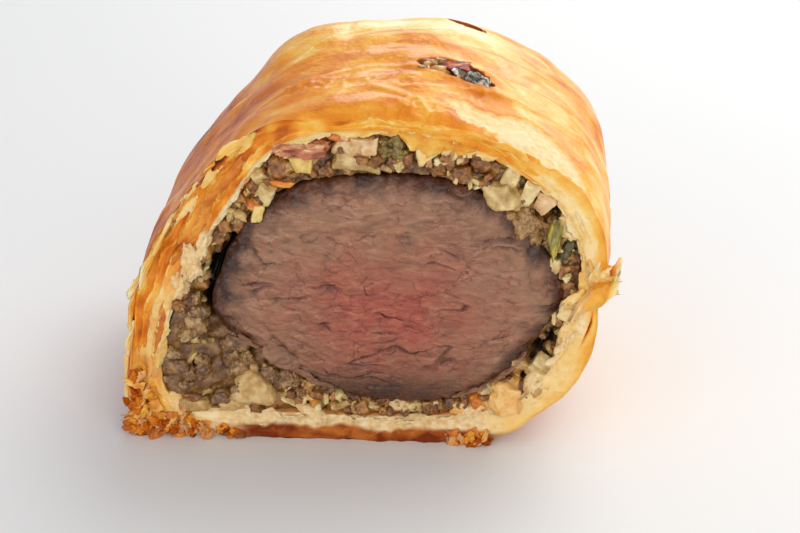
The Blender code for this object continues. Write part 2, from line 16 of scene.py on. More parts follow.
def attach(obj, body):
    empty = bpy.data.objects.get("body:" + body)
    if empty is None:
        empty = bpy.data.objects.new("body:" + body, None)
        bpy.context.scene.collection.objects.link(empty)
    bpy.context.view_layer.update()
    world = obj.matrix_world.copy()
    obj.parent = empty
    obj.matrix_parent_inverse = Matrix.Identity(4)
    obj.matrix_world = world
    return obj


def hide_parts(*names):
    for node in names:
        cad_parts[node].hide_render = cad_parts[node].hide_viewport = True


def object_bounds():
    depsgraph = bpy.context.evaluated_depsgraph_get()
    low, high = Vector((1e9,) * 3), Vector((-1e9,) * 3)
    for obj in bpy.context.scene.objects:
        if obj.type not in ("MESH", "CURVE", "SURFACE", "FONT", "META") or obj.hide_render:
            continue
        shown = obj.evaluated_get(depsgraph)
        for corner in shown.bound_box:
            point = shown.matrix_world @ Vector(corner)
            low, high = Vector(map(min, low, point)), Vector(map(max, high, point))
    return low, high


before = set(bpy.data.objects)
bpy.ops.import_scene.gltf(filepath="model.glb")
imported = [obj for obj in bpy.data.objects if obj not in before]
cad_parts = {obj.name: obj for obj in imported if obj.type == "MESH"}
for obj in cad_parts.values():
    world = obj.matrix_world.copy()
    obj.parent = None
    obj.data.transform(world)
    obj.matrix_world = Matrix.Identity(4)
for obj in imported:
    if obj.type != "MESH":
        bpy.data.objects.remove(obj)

CAD_LOW, CAD_HIGH = [Vector(corner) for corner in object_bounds()]

MM = 0.001

# Sizes shared with the solids
LENGTH = 80 * MM
CUT_Y = -LENGTH / 2
SECTION_CENTRE = (4 * MM, 38 * MM)
END_WALL = 8 * MM
END_FILLING = 7 * MM
SWELL = 2.4 * MM
SWELL_ANGLES = (38, 100)
END_ROUNDING = 25 * MM
END_SQUARENESS = 3.0
END_CENTRE_Z = 33 * MM
GAP = 0.35 * MM
BEEF_BULGE = 2.6 * MM
BEEF_EDGE = 2.2 * MM
LEFT_RIM = (165, 55)
SKIN_SETBACK = 7.5 * MM
TOP_RIM = (78, 62)
CURL_DEPTH = 9 * MM
SEAM_ANGLE = 3
SEAM_LIP = 5.4 * MM
SEAM_STEP = 1.3 * MM
SEAM_EDGE = 1 * MM
SEAM_FLARE = 9 * MM
SEAM_LENGTH = 54 * MM
VENTS = [
    (20.5 * MM, 27 * MM, 8.6 * MM, 3.9 * MM, -20),
    (22 * MM, 61 * MM, 5.0 * MM, 1.6 * MM, -24),
]
VENT_LIP = 0.9 * MM
VENT_FLOOR = 66 * MM
VENT_TOP = 92 * MM
SKIN_SWELLS = (1.5 * MM, 27 * MM)
SKIN_CREASES = (0.8 * MM, 16 * MM)
TOP_FLAP = (1.8 * MM, 24 * MM)
SIDE_FLAP = (0.9 * MM, 14 * MM)

CRUST_OUTLINE = [
    (29, 0.5), (39, 5), (47, 13), (52, 23), (54.5, 32), (55, 41), (54.5, 50), (51.5, 59), (45, 68), (35, 76),
    (21, 81.5), (5, 83), (-11, 82), (-23, 77), (-33, 67), (-42, 56), (-49, 45.5), (-53, 34),
    (-54.8, 22), (-55.5, 11), (-55, 3), (-50, -1), (-30, -2.5), (0, -3), (18, -2),
]
CAVITY_OUTLINE = [
    (28, 9), (36, 13), (42.5, 20), (47.5, 29), (50, 39), (50, 48), (47.5, 57), (41.5, 65), (31, 72.5),
    (19, 77), (5, 78.4), (-9.5, 77.3), (-20, 72), (-27.5, 62), (-34, 52), (-39.8, 42), (-43.8, 32),
    (-46.5, 21), (-46, 12), (-40, 8), (-25, 7), (0, 6.5), (16, 7),
]
BEEF_OUTLINE = [
    (17.5, 11), (29.5, 16), (36.5, 23), (42, 31), (45.8, 38.5), (46, 42.5), (42, 51), (36.5, 58.5),
    (28, 64.3), (17.7, 67.6), (6, 68.3), (-5, 67.3), (-14.5, 65), (-22.5, 59.6), (-28.5, 51),
    (-32.5, 42), (-34, 35), (-31.5, 29.4), (-25, 24.4), (-17, 19), (-7.6, 14), (4.3, 10.8),
]

# Hollows in the cut filling: angle, share of the way from beef to crust, depth, spread in degrees and share
HOLLOWS = [
    (160, 0.10, 6.0 * MM, 6, 0.35), (172, 0.15, 7.5 * MM, 8, 0.40), (185, 0.05, 7.0 * MM, 7, 0.30),
    (205, 0.15, 5.0 * MM, 4, 0.20), (342, 0.55, 6.0 * MM, 7, 0.40), (329, 0.80, 5.0 * MM, 6, 0.30),
    (106, 0.80, 4.0 * MM, 3, 0.35), (77, 0.85, 4.0 * MM, 4, 0.30), (56, 0.75, 4.5 * MM, 4, 0.35),
    (31, 0.70, 4.5 * MM, 4, 0.35),
]

CRUST_SEGMENTS = 560
BEEF_SEGMENTS = 480
FILLING_SEGMENTS = 420
LEAF = 2.3 * MM  # thickness of a bundle of baked leaves of the pastry
ARC = 0.85 * MM  # length of one degree of the rim
WELD = 0.002 * MM


# Small sums

def smooth(low, high, value):
    """0 below low, 1 above high, and a smooth rise between them."""
    share = min(1.0, max(0.0, (value - low) / (high - low)))
    return share * share * (3 - 2 * share)


def mix(first, second, share):
    return first + (second - first) * share


def turn_between(angle, middle):
    """How far angle lies from middle, in degrees, from -180 to 180."""
    return (angle - middle + 180) % 360 - 180


def bump(angle, middle, half_width):
    """1 at the middle angle, falling smoothly to 0 at half_width degrees either side."""
    return 1 - smooth(0, half_width, abs(turn_between(angle, middle)))


def hump(distance, half_width):
    return math.exp(-((distance / half_width) ** 2))


def rough(x, y, z, scale):
    """Even noise from about -1 to 1, with lumps of the given size in metres."""
    return noise.noise(Vector((x, y, z)) / scale)


def ridge(x, y, z, scale):
    """1 along thin wandering lines, falling to about 0 between them."""
    return 1 - min(1.0, 2.6 * abs(rough(x, y, z, scale)))


def radius_of(outline):
    """The outline as a radius for each angle in degrees: a closed Catmull-Rom spline through its points."""
    points = np.array(outline) * MM - np.array(SECTION_CENTRE)
    before, after = np.roll(points, 1, axis=0), np.roll(points, -1, axis=0)
    beyond = np.roll(points, -2, axis=0)
    sampled = []
    for t in np.linspace(0, 1, 16, endpoint=False):
        sampled.append(
            0.5 * (2 * points + (after - before) * t + (2 * before - 5 * points + 4 * after - beyond) * t**2
                   + (3 * points - before - 3 * after + beyond) * t**3)
        )
    line = np.concatenate(sampled)
    angles = np.degrees(np.arctan2(line[:, 1], line[:, 0])) % 360
    order = np.argsort(angles)
    angles, radii = angles[order], np.hypot(line[:, 0], line[:, 1])[order]

    @functools.lru_cache(maxsize=None)
    def radius(angle):
        return float(np.interp(angle % 360, angles, radii, period=360))

    return radius


crust_radius = radius_of(CRUST_OUTLINE)
cavity_radius = radius_of(CAVITY_OUTLINE)
beef_radius = radius_of(BEEF_OUTLINE)


def section_point(radius, angle, depth):
    """The point of a section at that radius and angle, at a depth behind the cut plane."""
    a = math.radians(angle)
    return Vector((SECTION_CENTRE[0] + radius * math.cos(a), CUT_Y + depth,
                   SECTION_CENTRE[1] + radius * math.sin(a)))


def angle_at(x, z):
    return math.degrees(math.atan2(z - SECTION_CENTRE[1], x - SECTION_CENTRE[0])) % 360


def rounded_end(point, rounding, end_depth, turn):
    """The point carried along the rounded end. The turn is 0 where it starts to round and 90 at the pole."""
    share = math.cos(math.radians(turn)) ** (2 / END_SQUARENESS) if turn < 90 else 0.0
    reach = math.sin(math.radians(turn)) ** (2 / END_SQUARENESS)
    lowness = 1 - smooth(0, 30 * MM, point.z)
    lift = (1 - share) ** (1 + lowness)
    x = SECTION_CENTRE[0] + (point.x - SECTION_CENTRE[0]) * share
    z = point.z + (END_CENTRE_Z - point.z) * (lift if turn < 90 else 1.0)
    return Vector((x, CUT_Y + end_depth - rounding + rounding * reach, z))


# Meshes

def mesh_of(name, bm):
    """The finished mesh, kept inside the solids' box, with its faces turned outwards."""
    for vertex in bm.verts:
        for axis in range(3):
            vertex.co[axis] = min(CAD_HIGH[axis], max(CAD_LOW[axis], vertex.co[axis]))
    bm.normal_update()
    bmesh.ops.recalc_face_normals(bm, faces=bm.faces)
    mesh = bpy.data.meshes.new(name)
    bm.to_mesh(mesh)
    bm.free()
    return mesh


def add_piece(name, bm, finish, slot, *nodes):
    """The bmesh as a finished piece that rides on the object and stands for the nodes."""
    mesh = mesh_of(name, bm)
    piece = bpy.data.objects.new(name, mesh)
    bpy.context.scene.collection.objects.link(piece)
    mesh.materials.append(finish)
    mesh.shade_smooth()
    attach(piece, "root")
    if nodes:
        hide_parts(*nodes)
    return piece


def marked(bm, marks):
    """The float layers that hold the marks, one a name."""
    return [bm.verts.layers.float.get(mark) or bm.verts.layers.float.new(mark) for mark in marks]


def shape_rows(rows, segments, marks):
    """A closed bmesh from rows: a grid rolled up, welded along its seam and drawn together at both poles.

    Each row is a function of the angle that gives a point and its marks.
    """
    bm = bmesh.new()
    steps = len(rows) - 1
    bmesh.ops.create_grid(bm, x_segments=segments, y_segments=steps, size=0.5)
    layers = marked(bm, marks)
    edges = [vertex for vertex in bm.verts if vertex.is_boundary]
    for vertex in bm.verts:
        row = round((vertex.co.y + 0.5) * steps)
        turn = round((vertex.co.x + 0.5) * segments) % segments
        vertex.co, values = rows[row](360 * turn / segments)
        for layer, value in zip(layers, values):
            vertex[layer] = value
    bmesh.ops.remove_doubles(bm, verts=edges, dist=WELD)
    return bm


def add_sheet(bm, across, along, place, marks):
    """Adds a thin closed sheet to bm. place(u, v, back) gives a point and its marks, with u and v from 0 to 1."""
    sheet = bmesh.new()
    bmesh.ops.create_grid(sheet, x_segments=across, y_segments=along, size=0.5)
    bmesh.ops.solidify(sheet, geom=sheet.faces[:], thickness=1)
    layers = marked(sheet, marks)
    for vertex in sheet.verts:
        u, v, back = vertex.co.x + 0.5, vertex.co.y + 0.5, abs(vertex.co.z) > 0.5
        vertex.co, values = place(u, v, back)
        for layer, value in zip(layers, values):
            vertex[layer] = value
    sheet.normal_update()
    bmesh.ops.recalc_face_normals(sheet, faces=sheet.faces)
    join(bm, sheet)


def join(bm, other):
    """Adds the other bmesh to bm and frees it."""
    held = bpy.data.meshes.new("held")
    other.to_mesh(held)
    other.free()
    bm.from_mesh(held)
    bpy.data.meshes.remove(held)


# Pastry: its outer skin

CRUST_MARKS = ("bake", "dough", "juice", "fold")

# The bald patch at the upper right, where the glazed skin has come off: angles, and its front and back depths
BALD_ANGLES = (31, 36, 42, 49, 58, 67, 71.5)
BALD_FRONT = (3.0, 2.8, 1.4, 2.4, 3.4, 5.2, 12.5)
BALD_BACK = (4.0, 9.5, 14.5, 16.0, 13.6, 13.4, 13.6)

# Blistered patches of the skin: angle, depth, spread in degrees, spread in depth
BLISTERS = [
    (76, 5 * MM, 6, 4 * MM), (82, 8 * MM, 4, 3 * MM), (93, 2 * MM, 4, 2.5 * MM), (114, 23 * MM, 6, 3 * MM),
    (105, 21 * MM, 9, 2.5 * MM), (84, 20 * MM, 4, 5 * MM), (62, 20 * MM, 5, 4 * MM),
]


def wall(angle):
    return crust_radius(angle) - cavity_radius(angle)


def vent_lips(x, depth, z):
    """The skin's rise round the steam slits."""
    rise = 0.0
    if z < 60 * MM:
        return rise
    for centre, behind, half_length, half_width, turn in VENTS:
        t = math.radians(turn)
        dx, dy = x - centre, depth - behind
        along = (dx * math.cos(t) + dy * math.sin(t)) / half_length
        across = (dy * math.cos(t) - dx * math.sin(t)) / half_width
        rise += VENT_LIP * hump(math.hypot(along, across) - 1.2, 0.45)
    return rise


def crust_relief(angle, depth):
    """Swells and creases of the baked skin, and its fuller girth behind the cut."""
    x = SECTION_CENTRE[0] + crust_radius(angle) * math.cos(math.radians(angle))
    z = SECTION_CENTRE[1] + crust_radius(angle) * math.sin(math.radians(angle))
    swells = SKIN_SWELLS[0] * rough(x, depth, z, SKIN_SWELLS[1])
    creases = SKIN_CREASES[0] * rough(x + 0.3 * z, depth * 2.4, z, SKIN_CREASES[1])
    girth = SWELL * smooth(2 * MM, 32 * MM, depth) * bump(angle, *SWELL_ANGLES)
    return (swells + creases) * smooth(0, 8 * MM, z) + girth + vent_lips(x, depth, z)


def seam_step(angle, depth):
    """The top sheet stands proud of the bottom one above the seam on the right."""
    above = smooth(-4, 4, turn_between(angle, SEAM_ANGLE + 4))
    fades = 1 - smooth(20, 70, turn_between(angle, SEAM_ANGLE))
    return SEAM_STEP * above * fades if 0 < turn_between(angle, SEAM_ANGLE) + 8 < 90 else 0.0


def flap_edge(point):
    """How far the place lies above the lower edge of the closed end's top flap."""
    x = point.x - SECTION_CENTRE[0]
    return point.z - TOP_FLAP[1] - 0.35 * abs(x) + 0.6 * MM * rough(point.x, 0, 5, 5 * MM)


def end_fold(point):
    """Relief of the closed end, where the side flaps are tucked in under the top one."""
    if point.y < CUT_Y + LENGTH - END_ROUNDING:
        return 0.0
    x, z = point.x - SECTION_CENTRE[0], point.z
    behind = smooth(CUT_Y + LENGTH - 0.6 * END_ROUNDING, CUT_Y + LENGTH - 0.2 * END_ROUNDING, point.y)
    top_flap = TOP_FLAP[0] * smooth(-1 * MM, 1 * MM, z - TOP_FLAP[1] - 0.35 * abs(x))
    side_flaps = SIDE_FLAP[0] * smooth(-1.5 * MM, 1.5 * MM, abs(x) - SIDE_FLAP[1] - 0.25 * z)
    return (top_flap + side_flaps) * behind


def bald(angle, depth):
    """1 in the bald patch and 0 outside it, with a ragged edge."""
    if not BALD_ANGLES[0] < angle < BALD_ANGLES[-1]:
        return 0.0
    ragged = 1.1 * MM * rough(angle * ARC, depth, 0, 3 * MM) + 0.7 * MM * rough(angle * ARC, depth, 5, 1.1 * MM)
    front = float(np.interp(angle, BALD_ANGLES, BALD_FRONT)) * MM + ragged
    back = float(np.interp(angle, BALD_ANGLES, BALD_BACK)) * MM + ragged
    return smooth(front - 0.2 * MM, front + 0.2 * MM, depth) * (1 - smooth(back - 0.3 * MM, back + 0.3 * MM, depth))


def fold_line(angle, depth):
    """A value that passes through 0 along the thin folds that run round the loaf."""
    arc = angle * ARC
    return rough(arc * 0.20, depth + 3.2 * MM * rough(arc, 0, 7, 16 * MM), 3 * MM, 14 * MM)


def fine_relief(angle, depth):
    """Wrinkles, blisters, folds and the bald patch's edge."""
    arc = angle * ARC
    above = smooth(0, 9 * MM, SECTION_CENTRE[1] + crust_radius(angle) * math.sin(math.radians(angle)))
    fold = abs(fold_line(angle, depth))
    relief = 0.28 * MM * (1 - smooth(0, 0.10, fold)) - 0.12 * MM * hump(fold - 0.18, 0.08)
    relief += 0.10 * MM * rough(arc * 0.5, depth, 0, 2.4 * MM)
    relief += 0.26 * MM * rough(arc, depth * 0.6, 9, 6 * MM)
    for middle, behind, spread, spread_depth in BLISTERS:
        turn = turn_between(angle, middle)
        if abs(turn) < 2 * spread and abs(depth - behind) < 2 * spread_depth:
            patch = hump(turn, spread) * hump(depth - behind, spread_depth)
            relief += 0.7 * MM * patch * (ridge(arc, depth, 2, 2.4 * MM) - 0.4)
    return relief * above - 0.55 * MM * bald(angle, depth)


@functools.lru_cache(maxsize=None)
def outer_radius(angle, depth):
    """The pastry's outer radius, with its relief, the seam and the rim's curl."""
    radius = crust_radius(angle) + crust_relief(angle, depth) + seam_step(angle, depth)
    curl = bump(angle, *TOP_RIM) * (1 - smooth(0, 1, (depth + 1 * MM) / CURL_DEPTH)) ** 1.5
    return radius - 0.62 * wall(angle) * curl


def skin_radius(angle, depth):
    return outer_radius(angle, depth) + fine_relief(angle, depth)


def on_base(point):
    """Keeps a pastry point on or above the flat base."""
    return Vector((point.x, point.y, max(0.0, point.z)))


def soaked(point):
    """How far juice has stained the base brown and red, from 0 to 1."""
    edge = 3.6 * MM + 1.3 * MM * rough(point.x, point.y * 0.5, 0, 9 * MM) + 0.5 * MM * rough(point.x, 0, 3, 2 * MM)
    low = 1 - smooth(edge - 0.7 * MM, edge + 0.7 * MM, point.z)
    middle = smooth(-34 * MM, -26 * MM, point.x) * (1 - smooth(28 * MM, 36 * MM, point.x))
    return low * middle * (1 - smooth(0, 18 * MM, point.y - CUT_Y))


def skin_marks(angle, behind, point=None):
    """Bake, dough, juice and fold of the outer skin at that depth behind the cut, or at the point given."""
    point = point or section_point(crust_radius(angle), angle, behind)
    # The left side is painted browner, partly from deeper baking and partly as painted shade away from the light on the
    # right; the right side is painted paler as painted light.
    left = smooth(108, 150, angle) * (1 - smooth(198, 225, angle))
    right = bump(angle, 15, 60)
    low = 1 - smooth(3 * MM, 20 * MM, point.z)
    bake = 0.42 + 0.20 * left - 0.06 * right + 0.08 * low
    bake += 0.17 * rough(point.x, behind * 0.9, point.z, 17 * MM) + 0.11 * rough(point.x, behind * 1.6, point.z, 6 * MM)
    bake += 0.16 * left * hump(behind - 6.5 * MM, 3.2 * MM)
    bake += 0.18 * hump(angle - 163, 9) * hump(behind - 62 * MM, 9 * MM)
    bake += 0.22 * hump(angle - 16, 14) * smooth(0.0, 0.5, rough(point.x, behind, point.z, 9 * MM))
    # Paler far back on the top: a painted sheen, standing in for the bright room's reflection at a grazing angle.
    bake -= 0.30 * smooth(40 * MM, 58 * MM, behind) * bump(angle, 84, 46) * (1 - smooth(66 * MM, 76 * MM, behind))
    open_skin = bald(angle, behind)
    bake = mix(bake + 0.10 * bump(angle, 55, 30) * hump(behind - 16 * MM, 8 * MM), 0.08, open_skin)
    front = 1 - smooth(0.6 * MM, 2.4 * MM, behind)
    dough = 0.62 * open_skin + 0.30 * front * bump(angle, 10, 40)
    return bake - 0.08 * front * right, dough, soaked(on_base(point)), fold_line(angle, behind)


def outer_row(depth):
    def row(angle):
        return on_base(section_point(skin_radius(angle, depth), angle, depth)), skin_marks(angle, depth)
    return row


def outer_end_row(turn):
    def row(angle):
        depth = LENGTH - END_ROUNDING
        start = on_base(section_point(skin_radius(angle, depth), angle, depth))
        point = rounded_end(start, END_ROUNDING, LENGTH, turn)
        inward = Vector((SECTION_CENTRE[0], CUT_Y + LENGTH / 2, END_CENTRE_Z)) - point
        fine = 0.5 * MM * rough(point.x, point.y, point.z, 6 * MM) * smooth(20, 45, turn)
        shift = end_fold(point) * smooth(0, 30, turn) + fine
        bake, dough, juice, fold = skin_marks(angle, point.y - CUT_Y, point)
        edge = flap_edge(point)
        away = smooth(20, 60, turn)
        # Painted shade in the crease under the top flap's edge, and a painted highlight along its lip.
        bake += away * (0.12 * hump(edge + 1.6 * MM, 1.2 * MM) - 0.22 * hump(edge - 0.8 * MM, 0.8 * MM))
        shift -= away * 0.9 * MM * hump(edge + 1.2 * MM, 0.9 * MM)
        return on_base(point - inward.normalized() * shift), (bake, dough, juice, mix(fold, 0.6, smooth(0, 40, turn)))
    return row


# Pastry: its cut rim, in leaves

def zones(angle):
    """How much the place belongs to the left, the top, the right and the base of the rim."""
    left = bump(angle, 163, 60) ** 0.6
    top = bump(angle, 84, 50)
    right = bump(angle, 358, 60)
    base = smooth(215, 228, angle) * (1 - smooth(300, 318, angle))
    return left, top, right, base


def leaf_at(angle, share):
    """The number of the leaf there, how far across it the place is, and the share at the leaf's middle."""
    arc = angle * ARC
    across = wall(angle) * share
    wander = 2.6 * MM * rough(arc, across * 0.4, 0, 12 * MM) + 0.7 * MM * rough(arc, across, 3, 4.5 * MM)
    wander += 0.22 * MM * rough(arc, across, 6, 1.1 * MM)
    place = (across + wander) / LEAF
    leaf = math.floor(place)
    return leaf, place - leaf, max(0.0, min(1.0, share + (leaf + 0.5 - place) * LEAF / wall(angle)))


def leaf_step(angle, leaf):
    """How far a leaf is torn back from or stands out of the rim."""
    arc = angle * ARC
    return rough(arc, leaf * 31 * MM, 0, 9 * MM) + 0.35 * rough(arc, leaf * 17 * MM, 4, 2.5 * MM)


def tear_share(angle):
    """Where the thin tear in the right rim, under the lip, runs across it."""
    return 0.64 + 0.10 * math.sin(math.radians(turn_between(angle, 352.5) * 14))


@functools.lru_cache(maxsize=None)
def rim_depth(angle, share):
    """How far behind the cut plane the rim lies, leaf by leaf."""
    left, top, right, base = zones(angle)
    arc = angle * ARC
    leaf, within, middle = leaf_at(angle, share)
    strength = 1.1 * left + 0.75 * top + 0.28 * right + 0.30 * base
    depth = 0.9 * MM + SKIN_SETBACK * left * mix(share, middle, left) ** 1.25
    across = share * wall(angle)
    depth += 0.85 * MM * strength * leaf_step(angle, leaf)
    depth += 0.25 * MM * strength * hump(min(within, 1 - within), 0.08) * smooth(0, 0.5, rough(arc, leaf, 8, 6 * MM))
    depth += 0.28 * MM * rough(arc * 0.14, across, 2, 0.6 * MM) * smooth(-0.3, 0.3, rough(arc, across, 9, 4 * MM))
    depth += 0.45 * MM * rough(arc, across, 7, 2.6 * MM) * (0.35 + base)
    depth += 0.24 * MM * rough(arc, across, 5, 0.9 * MM) * (0.4 + 0.1 * base + right)
    span = crust_radius(angle) - cavity_radius(angle)
    depth += 0.8 * MM * hump(span * (1 - share), 0.8 * MM) + 0.4 * MM * hump(span * share, 0.5 * MM)
    tear = hump(turn_between(angle, 352.5), 4) * hump((share - tear_share(angle)) * span, 0.22 * MM)
    peel = hump(turn_between(angle, 352.5), 5) * hump((share - tear_share(angle)) * span + 0.7 * MM, 0.4 * MM)
    return max(-0.2 * MM, depth + 1.3 * MM * tear - 0.6 * MM * peel)


def rim_marks(angle, share, point):
    """Bake, dough, juice and fold of the cut rim."""
    left, top, right, base = zones(angle)
    arc = angle * ARC
    leaf, within, _ = leaf_at(angle, share)
    tone = rough(arc, leaf * 23 * MM, 0, 9 * MM) + 0.5 * rough(arc, leaf * 11 * MM, 5, 3 * MM)
    proud = smooth(0.15, 0.6, -leaf_step(angle, leaf))
    strand = rough(arc * 0.16, share * wall(angle), 2, 0.7 * MM)
    # Paler where a leaf stands proud and along one edge of each leaf: painted highlight.
    browned = 0.37 + 0.26 * tone - 0.14 * proud + 0.12 * strand + 0.12 * share - 0.22 * hump(1 - within, 0.12)
    browned -= 0.09 * smooth(150, 185, angle) * (1 - smooth(205, 222, angle))
    browned += 0.13 * hump(turn_between(angle, 140), 14)
    for middle, place, spread in ((164, 0.3, 5), (157, 0.6, 4), (187, 0.8, 4), (192, 0.6, 3), (212, 0.9, 5)):
        browned += 0.30 * hump(turn_between(angle, middle), spread) * hump(share - place, 0.28)
    browned += 0.18 * smooth(0.86, 1, share) + 0.30 * smooth(0.80, 0.95, share) * bump(angle, 140, 26)
    outer_half = smooth(0.50, 0.80, share + 0.12 * tone)
    bake = browned * left + (0.36 + 0.26 * tone) * top + (0.12 + 0.08 * tone + (0.16 - 0.12 * bump(angle, 322, 24)) * outer_half) * right
    bake += 0.10 * base
    bake /= max(0.3, left + top + right + base)
    inner = 1 - smooth(0.04, 0.22, share)
    dough = inner * (0.45 * left + 0.35 * top) + 0.42 * right * (1 - outer_half) + base
    dough += 0.25 * bump(angle, 326, 22)
    lower_left = bump(angle, 188, 20)
    dough += 0.5 * lower_left * (1 - smooth(0.25, 0.6, share))
    slit = hump(turn_between(angle, 352.5), 4) * hump((share - tear_share(angle)) * wall(angle), 0.26 * MM)
    outer_crisp = smooth(0.80, 1.0, share) * (base + 0.45 * right)
    bake += 0.28 * outer_crisp + 0.5 * slit
    dough *= (1 - 0.75 * outer_crisp) * (1 - slit)
    return bake, min(1.0, dough), soaked(point), 0.8


def rim_row(share):
    def row(angle):
        depth = rim_depth(angle, share)
        edge_depth = rim_depth(angle, 1)
        outer = skin_radius(angle, edge_depth)
        base = zones(angle)[3]
        inner = cavity_radius(angle) + 0.25 * MM * rough(angle * ARC, 0, 2, 1.4 * MM) * (1 + base)
        inner -= 0.9 * MM * base * rough(angle * ARC, 0, 4, 5 * MM)
        point = on_base(section_point(mix(inner, outer, share), angle, depth))
        return point, rim_marks(angle, share, point)
    return row


def shoulder_row(share):
    """A row between the rim's skin edge and the first full ring of the skin."""
    def row(angle):
        depth = mix(rim_depth(angle, 1), SHOULDER_DEPTH, share)
        return on_base(section_point(skin_radius(angle, depth), angle, depth)), skin_marks(angle, depth)
    return row


def cavity_row(depth):
    def row(angle):
        lumpy = 0.3 * MM * rough(angle * ARC, depth, 4, 2 * MM)
        start = max(depth, rim_depth(angle, 0) + 0.3 * MM)
        return section_point(cavity_radius(angle) + lumpy, angle, start), (0.55, 0.35, 0.0, 0.8)
    return row


def cavity_end_row(turn):
    def row(angle):
        start = section_point(cavity_radius(angle), angle, 0)
        return rounded_end(start, END_ROUNDING, LENGTH - END_WALL, turn), (0.5, 0.5, 0.0, 0.8)
    return row


SHOULDER_DEPTH = 10.5 * MM
FIRST_DEPTHS = [d * MM for d in np.arange(11.1, 22, 0.75)]
NEXT_DEPTHS = [d * MM for d in np.arange(22.2, 55.1, 1.17)]


def crust_rows():
    rows = [outer_end_row(turn) for turn in np.arange(90, 2, -1.75)]
    rows += [outer_row(depth) for depth in reversed(NEXT_DEPTHS)]
    rows += [outer_row(depth) for depth in reversed(FIRST_DEPTHS)]
    rows += [shoulder_row(share) for share in np.linspace(1, 0.04, 18)]
    rows += [rim_row(share) for share in np.linspace(1, 0, 46)]
    rows += [cavity_row(depth) for depth in (1.5 * MM, 3 * MM, 5 * MM, 8 * MM, 12 * MM, 24 * MM, 47 * MM)]
    rows += [cavity_end_row(turn) for turn in (12, 30, 52, 74, 90)]
    return rows


def vent_cutter(x, depth, half_length, half_width, turn):
    """A pointed oval plug, upright, through the pastry's top."""
    bm = bmesh.new()
    bmesh.ops.create_cone(bm, cap_ends=True, segments=64, radius1=1, radius2=1, depth=1)
    spin = Matrix.Rotation(math.radians(turn), 4, "Z")
    for vertex in bm.verts:
        a = math.atan2(vertex.co.y, vertex.co.x)
        oval = Vector((half_length * math.cos(a), half_width * math.sin(a) * abs(math.sin(a)) ** 0.35, 0))
        widen, z = (1.18, VENT_TOP) if vertex.co.z > 0 else (0.92, VENT_FLOOR)
        ragged = 1 + 0.10 * rough(3 * math.cos(a) * MM, 3 * math.sin(a) * MM, depth, 0.9 * MM)
        vertex.co = spin @ (oval * widen * ragged) + Vector((x, CUT_Y + depth, z))
    return bm


def make_crust(finish):
    crust = add_piece("crust_shell", shape_rows(crust_rows(), CRUST_SEGMENTS, CRUST_MARKS), finish, "crust", "crust")
    for vent in VENTS:
        held = bpy.data.meshes.new("slit")
        bm = vent_cutter(*vent)
        bm.normal_update()
        bmesh.ops.recalc_face_normals(bm, faces=bm.faces)
        bm.to_mesh(held)
        bm.free()
        plug = bpy.data.objects.new("slit", held)
        bpy.context.scene.collection.objects.link(plug)
        cut = crust.modifiers.new("Slit", "BOOLEAN")
        cut.operation = "DIFFERENCE"
        cut.solver = "MANIFOLD"
        cut.object = plug
        graph = bpy.context.evaluated_depsgraph_get()
        result = bpy.data.meshes.new_from_object(crust.evaluated_get(graph))
        crust.modifiers.clear()
        crust.data = result
        bpy.data.objects.remove(plug)
    # What the slits laid open has no marks yet
    values = {mark: crust.data.attributes[mark].data for mark in CRUST_MARKS}
    for i in range(len(crust.data.vertices)):
        if all(abs(values[mark][i].value) < 1e-6 for mark in CRUST_MARKS):
            for mark, value in zip(CRUST_MARKS, (0.78, 0.10, 0.0, 0.8)):
                values[mark][i].value = value
    crust.data.name = "crust_shell"
    return crust


# Pastry: loose leaves, the seam lip and crumbs

def fringe(bm, start, end, drop, teeth, depth, lean, bake, dough, seed):
    """A thin torn edge that hangs from the rim's inner edge towards the beef, between two angles."""
    span = (end - start) * ARC

    def place(u, v, back):
        arc = u * span
        ends = math.sin(math.pi * u) ** 0.4 if 0 < u < 1 else 0.0
        tooth = 1.4 * rough(arc, seed, 0, 5.5 * MM) + 0.6 * rough(arc, seed, 3, 2.2 * MM)
        tooth += 0.20 * rough(arc, seed, 6, 0.8 * MM)
        fall = drop * ends * max(0.12, 1 + teeth * tooth) * v + 0.2 * MM * v * rough(arc, 1, seed, 0.45 * MM)
        angle = start + (end - start) * (u + 0.025 * v * rough(arc, v * 3 * MM, seed + 4, 3 * MM))
        wave = 1.5 * MM * v * rough(arc, v * 2 * MM, seed, 4 * MM) + 0.6 * MM * rough(arc, v * 5 * MM, seed, 1.2 * MM)
        thickness = mix(1.2 * MM, 0.35 * MM, v) if back else 0.0
        fall += 0.35 * MM * rough(arc, v * 4 * MM, seed + 2, 1.1 * MM) * v
        radius = cavity_radius(angle) + 1.2 * MM - fall
        root = rim_depth(round(angle, 1), 0.15) + 0.6 * MM
        hang = mix(root, depth + lean * v * v, smooth(0, 0.4, v))
        point = section_point(radius, angle, hang + wave + thickness)
        pale = bake - 0.14 * v + 0.12 * rough(arc, v * 3 * MM, seed, 3 * MM)
        return point, (pale, dough, 0.0, 0.8)

    add_sheet(bm, max(8, int(span / (0.35 * MM))), 8, place, CRUST_MARKS)


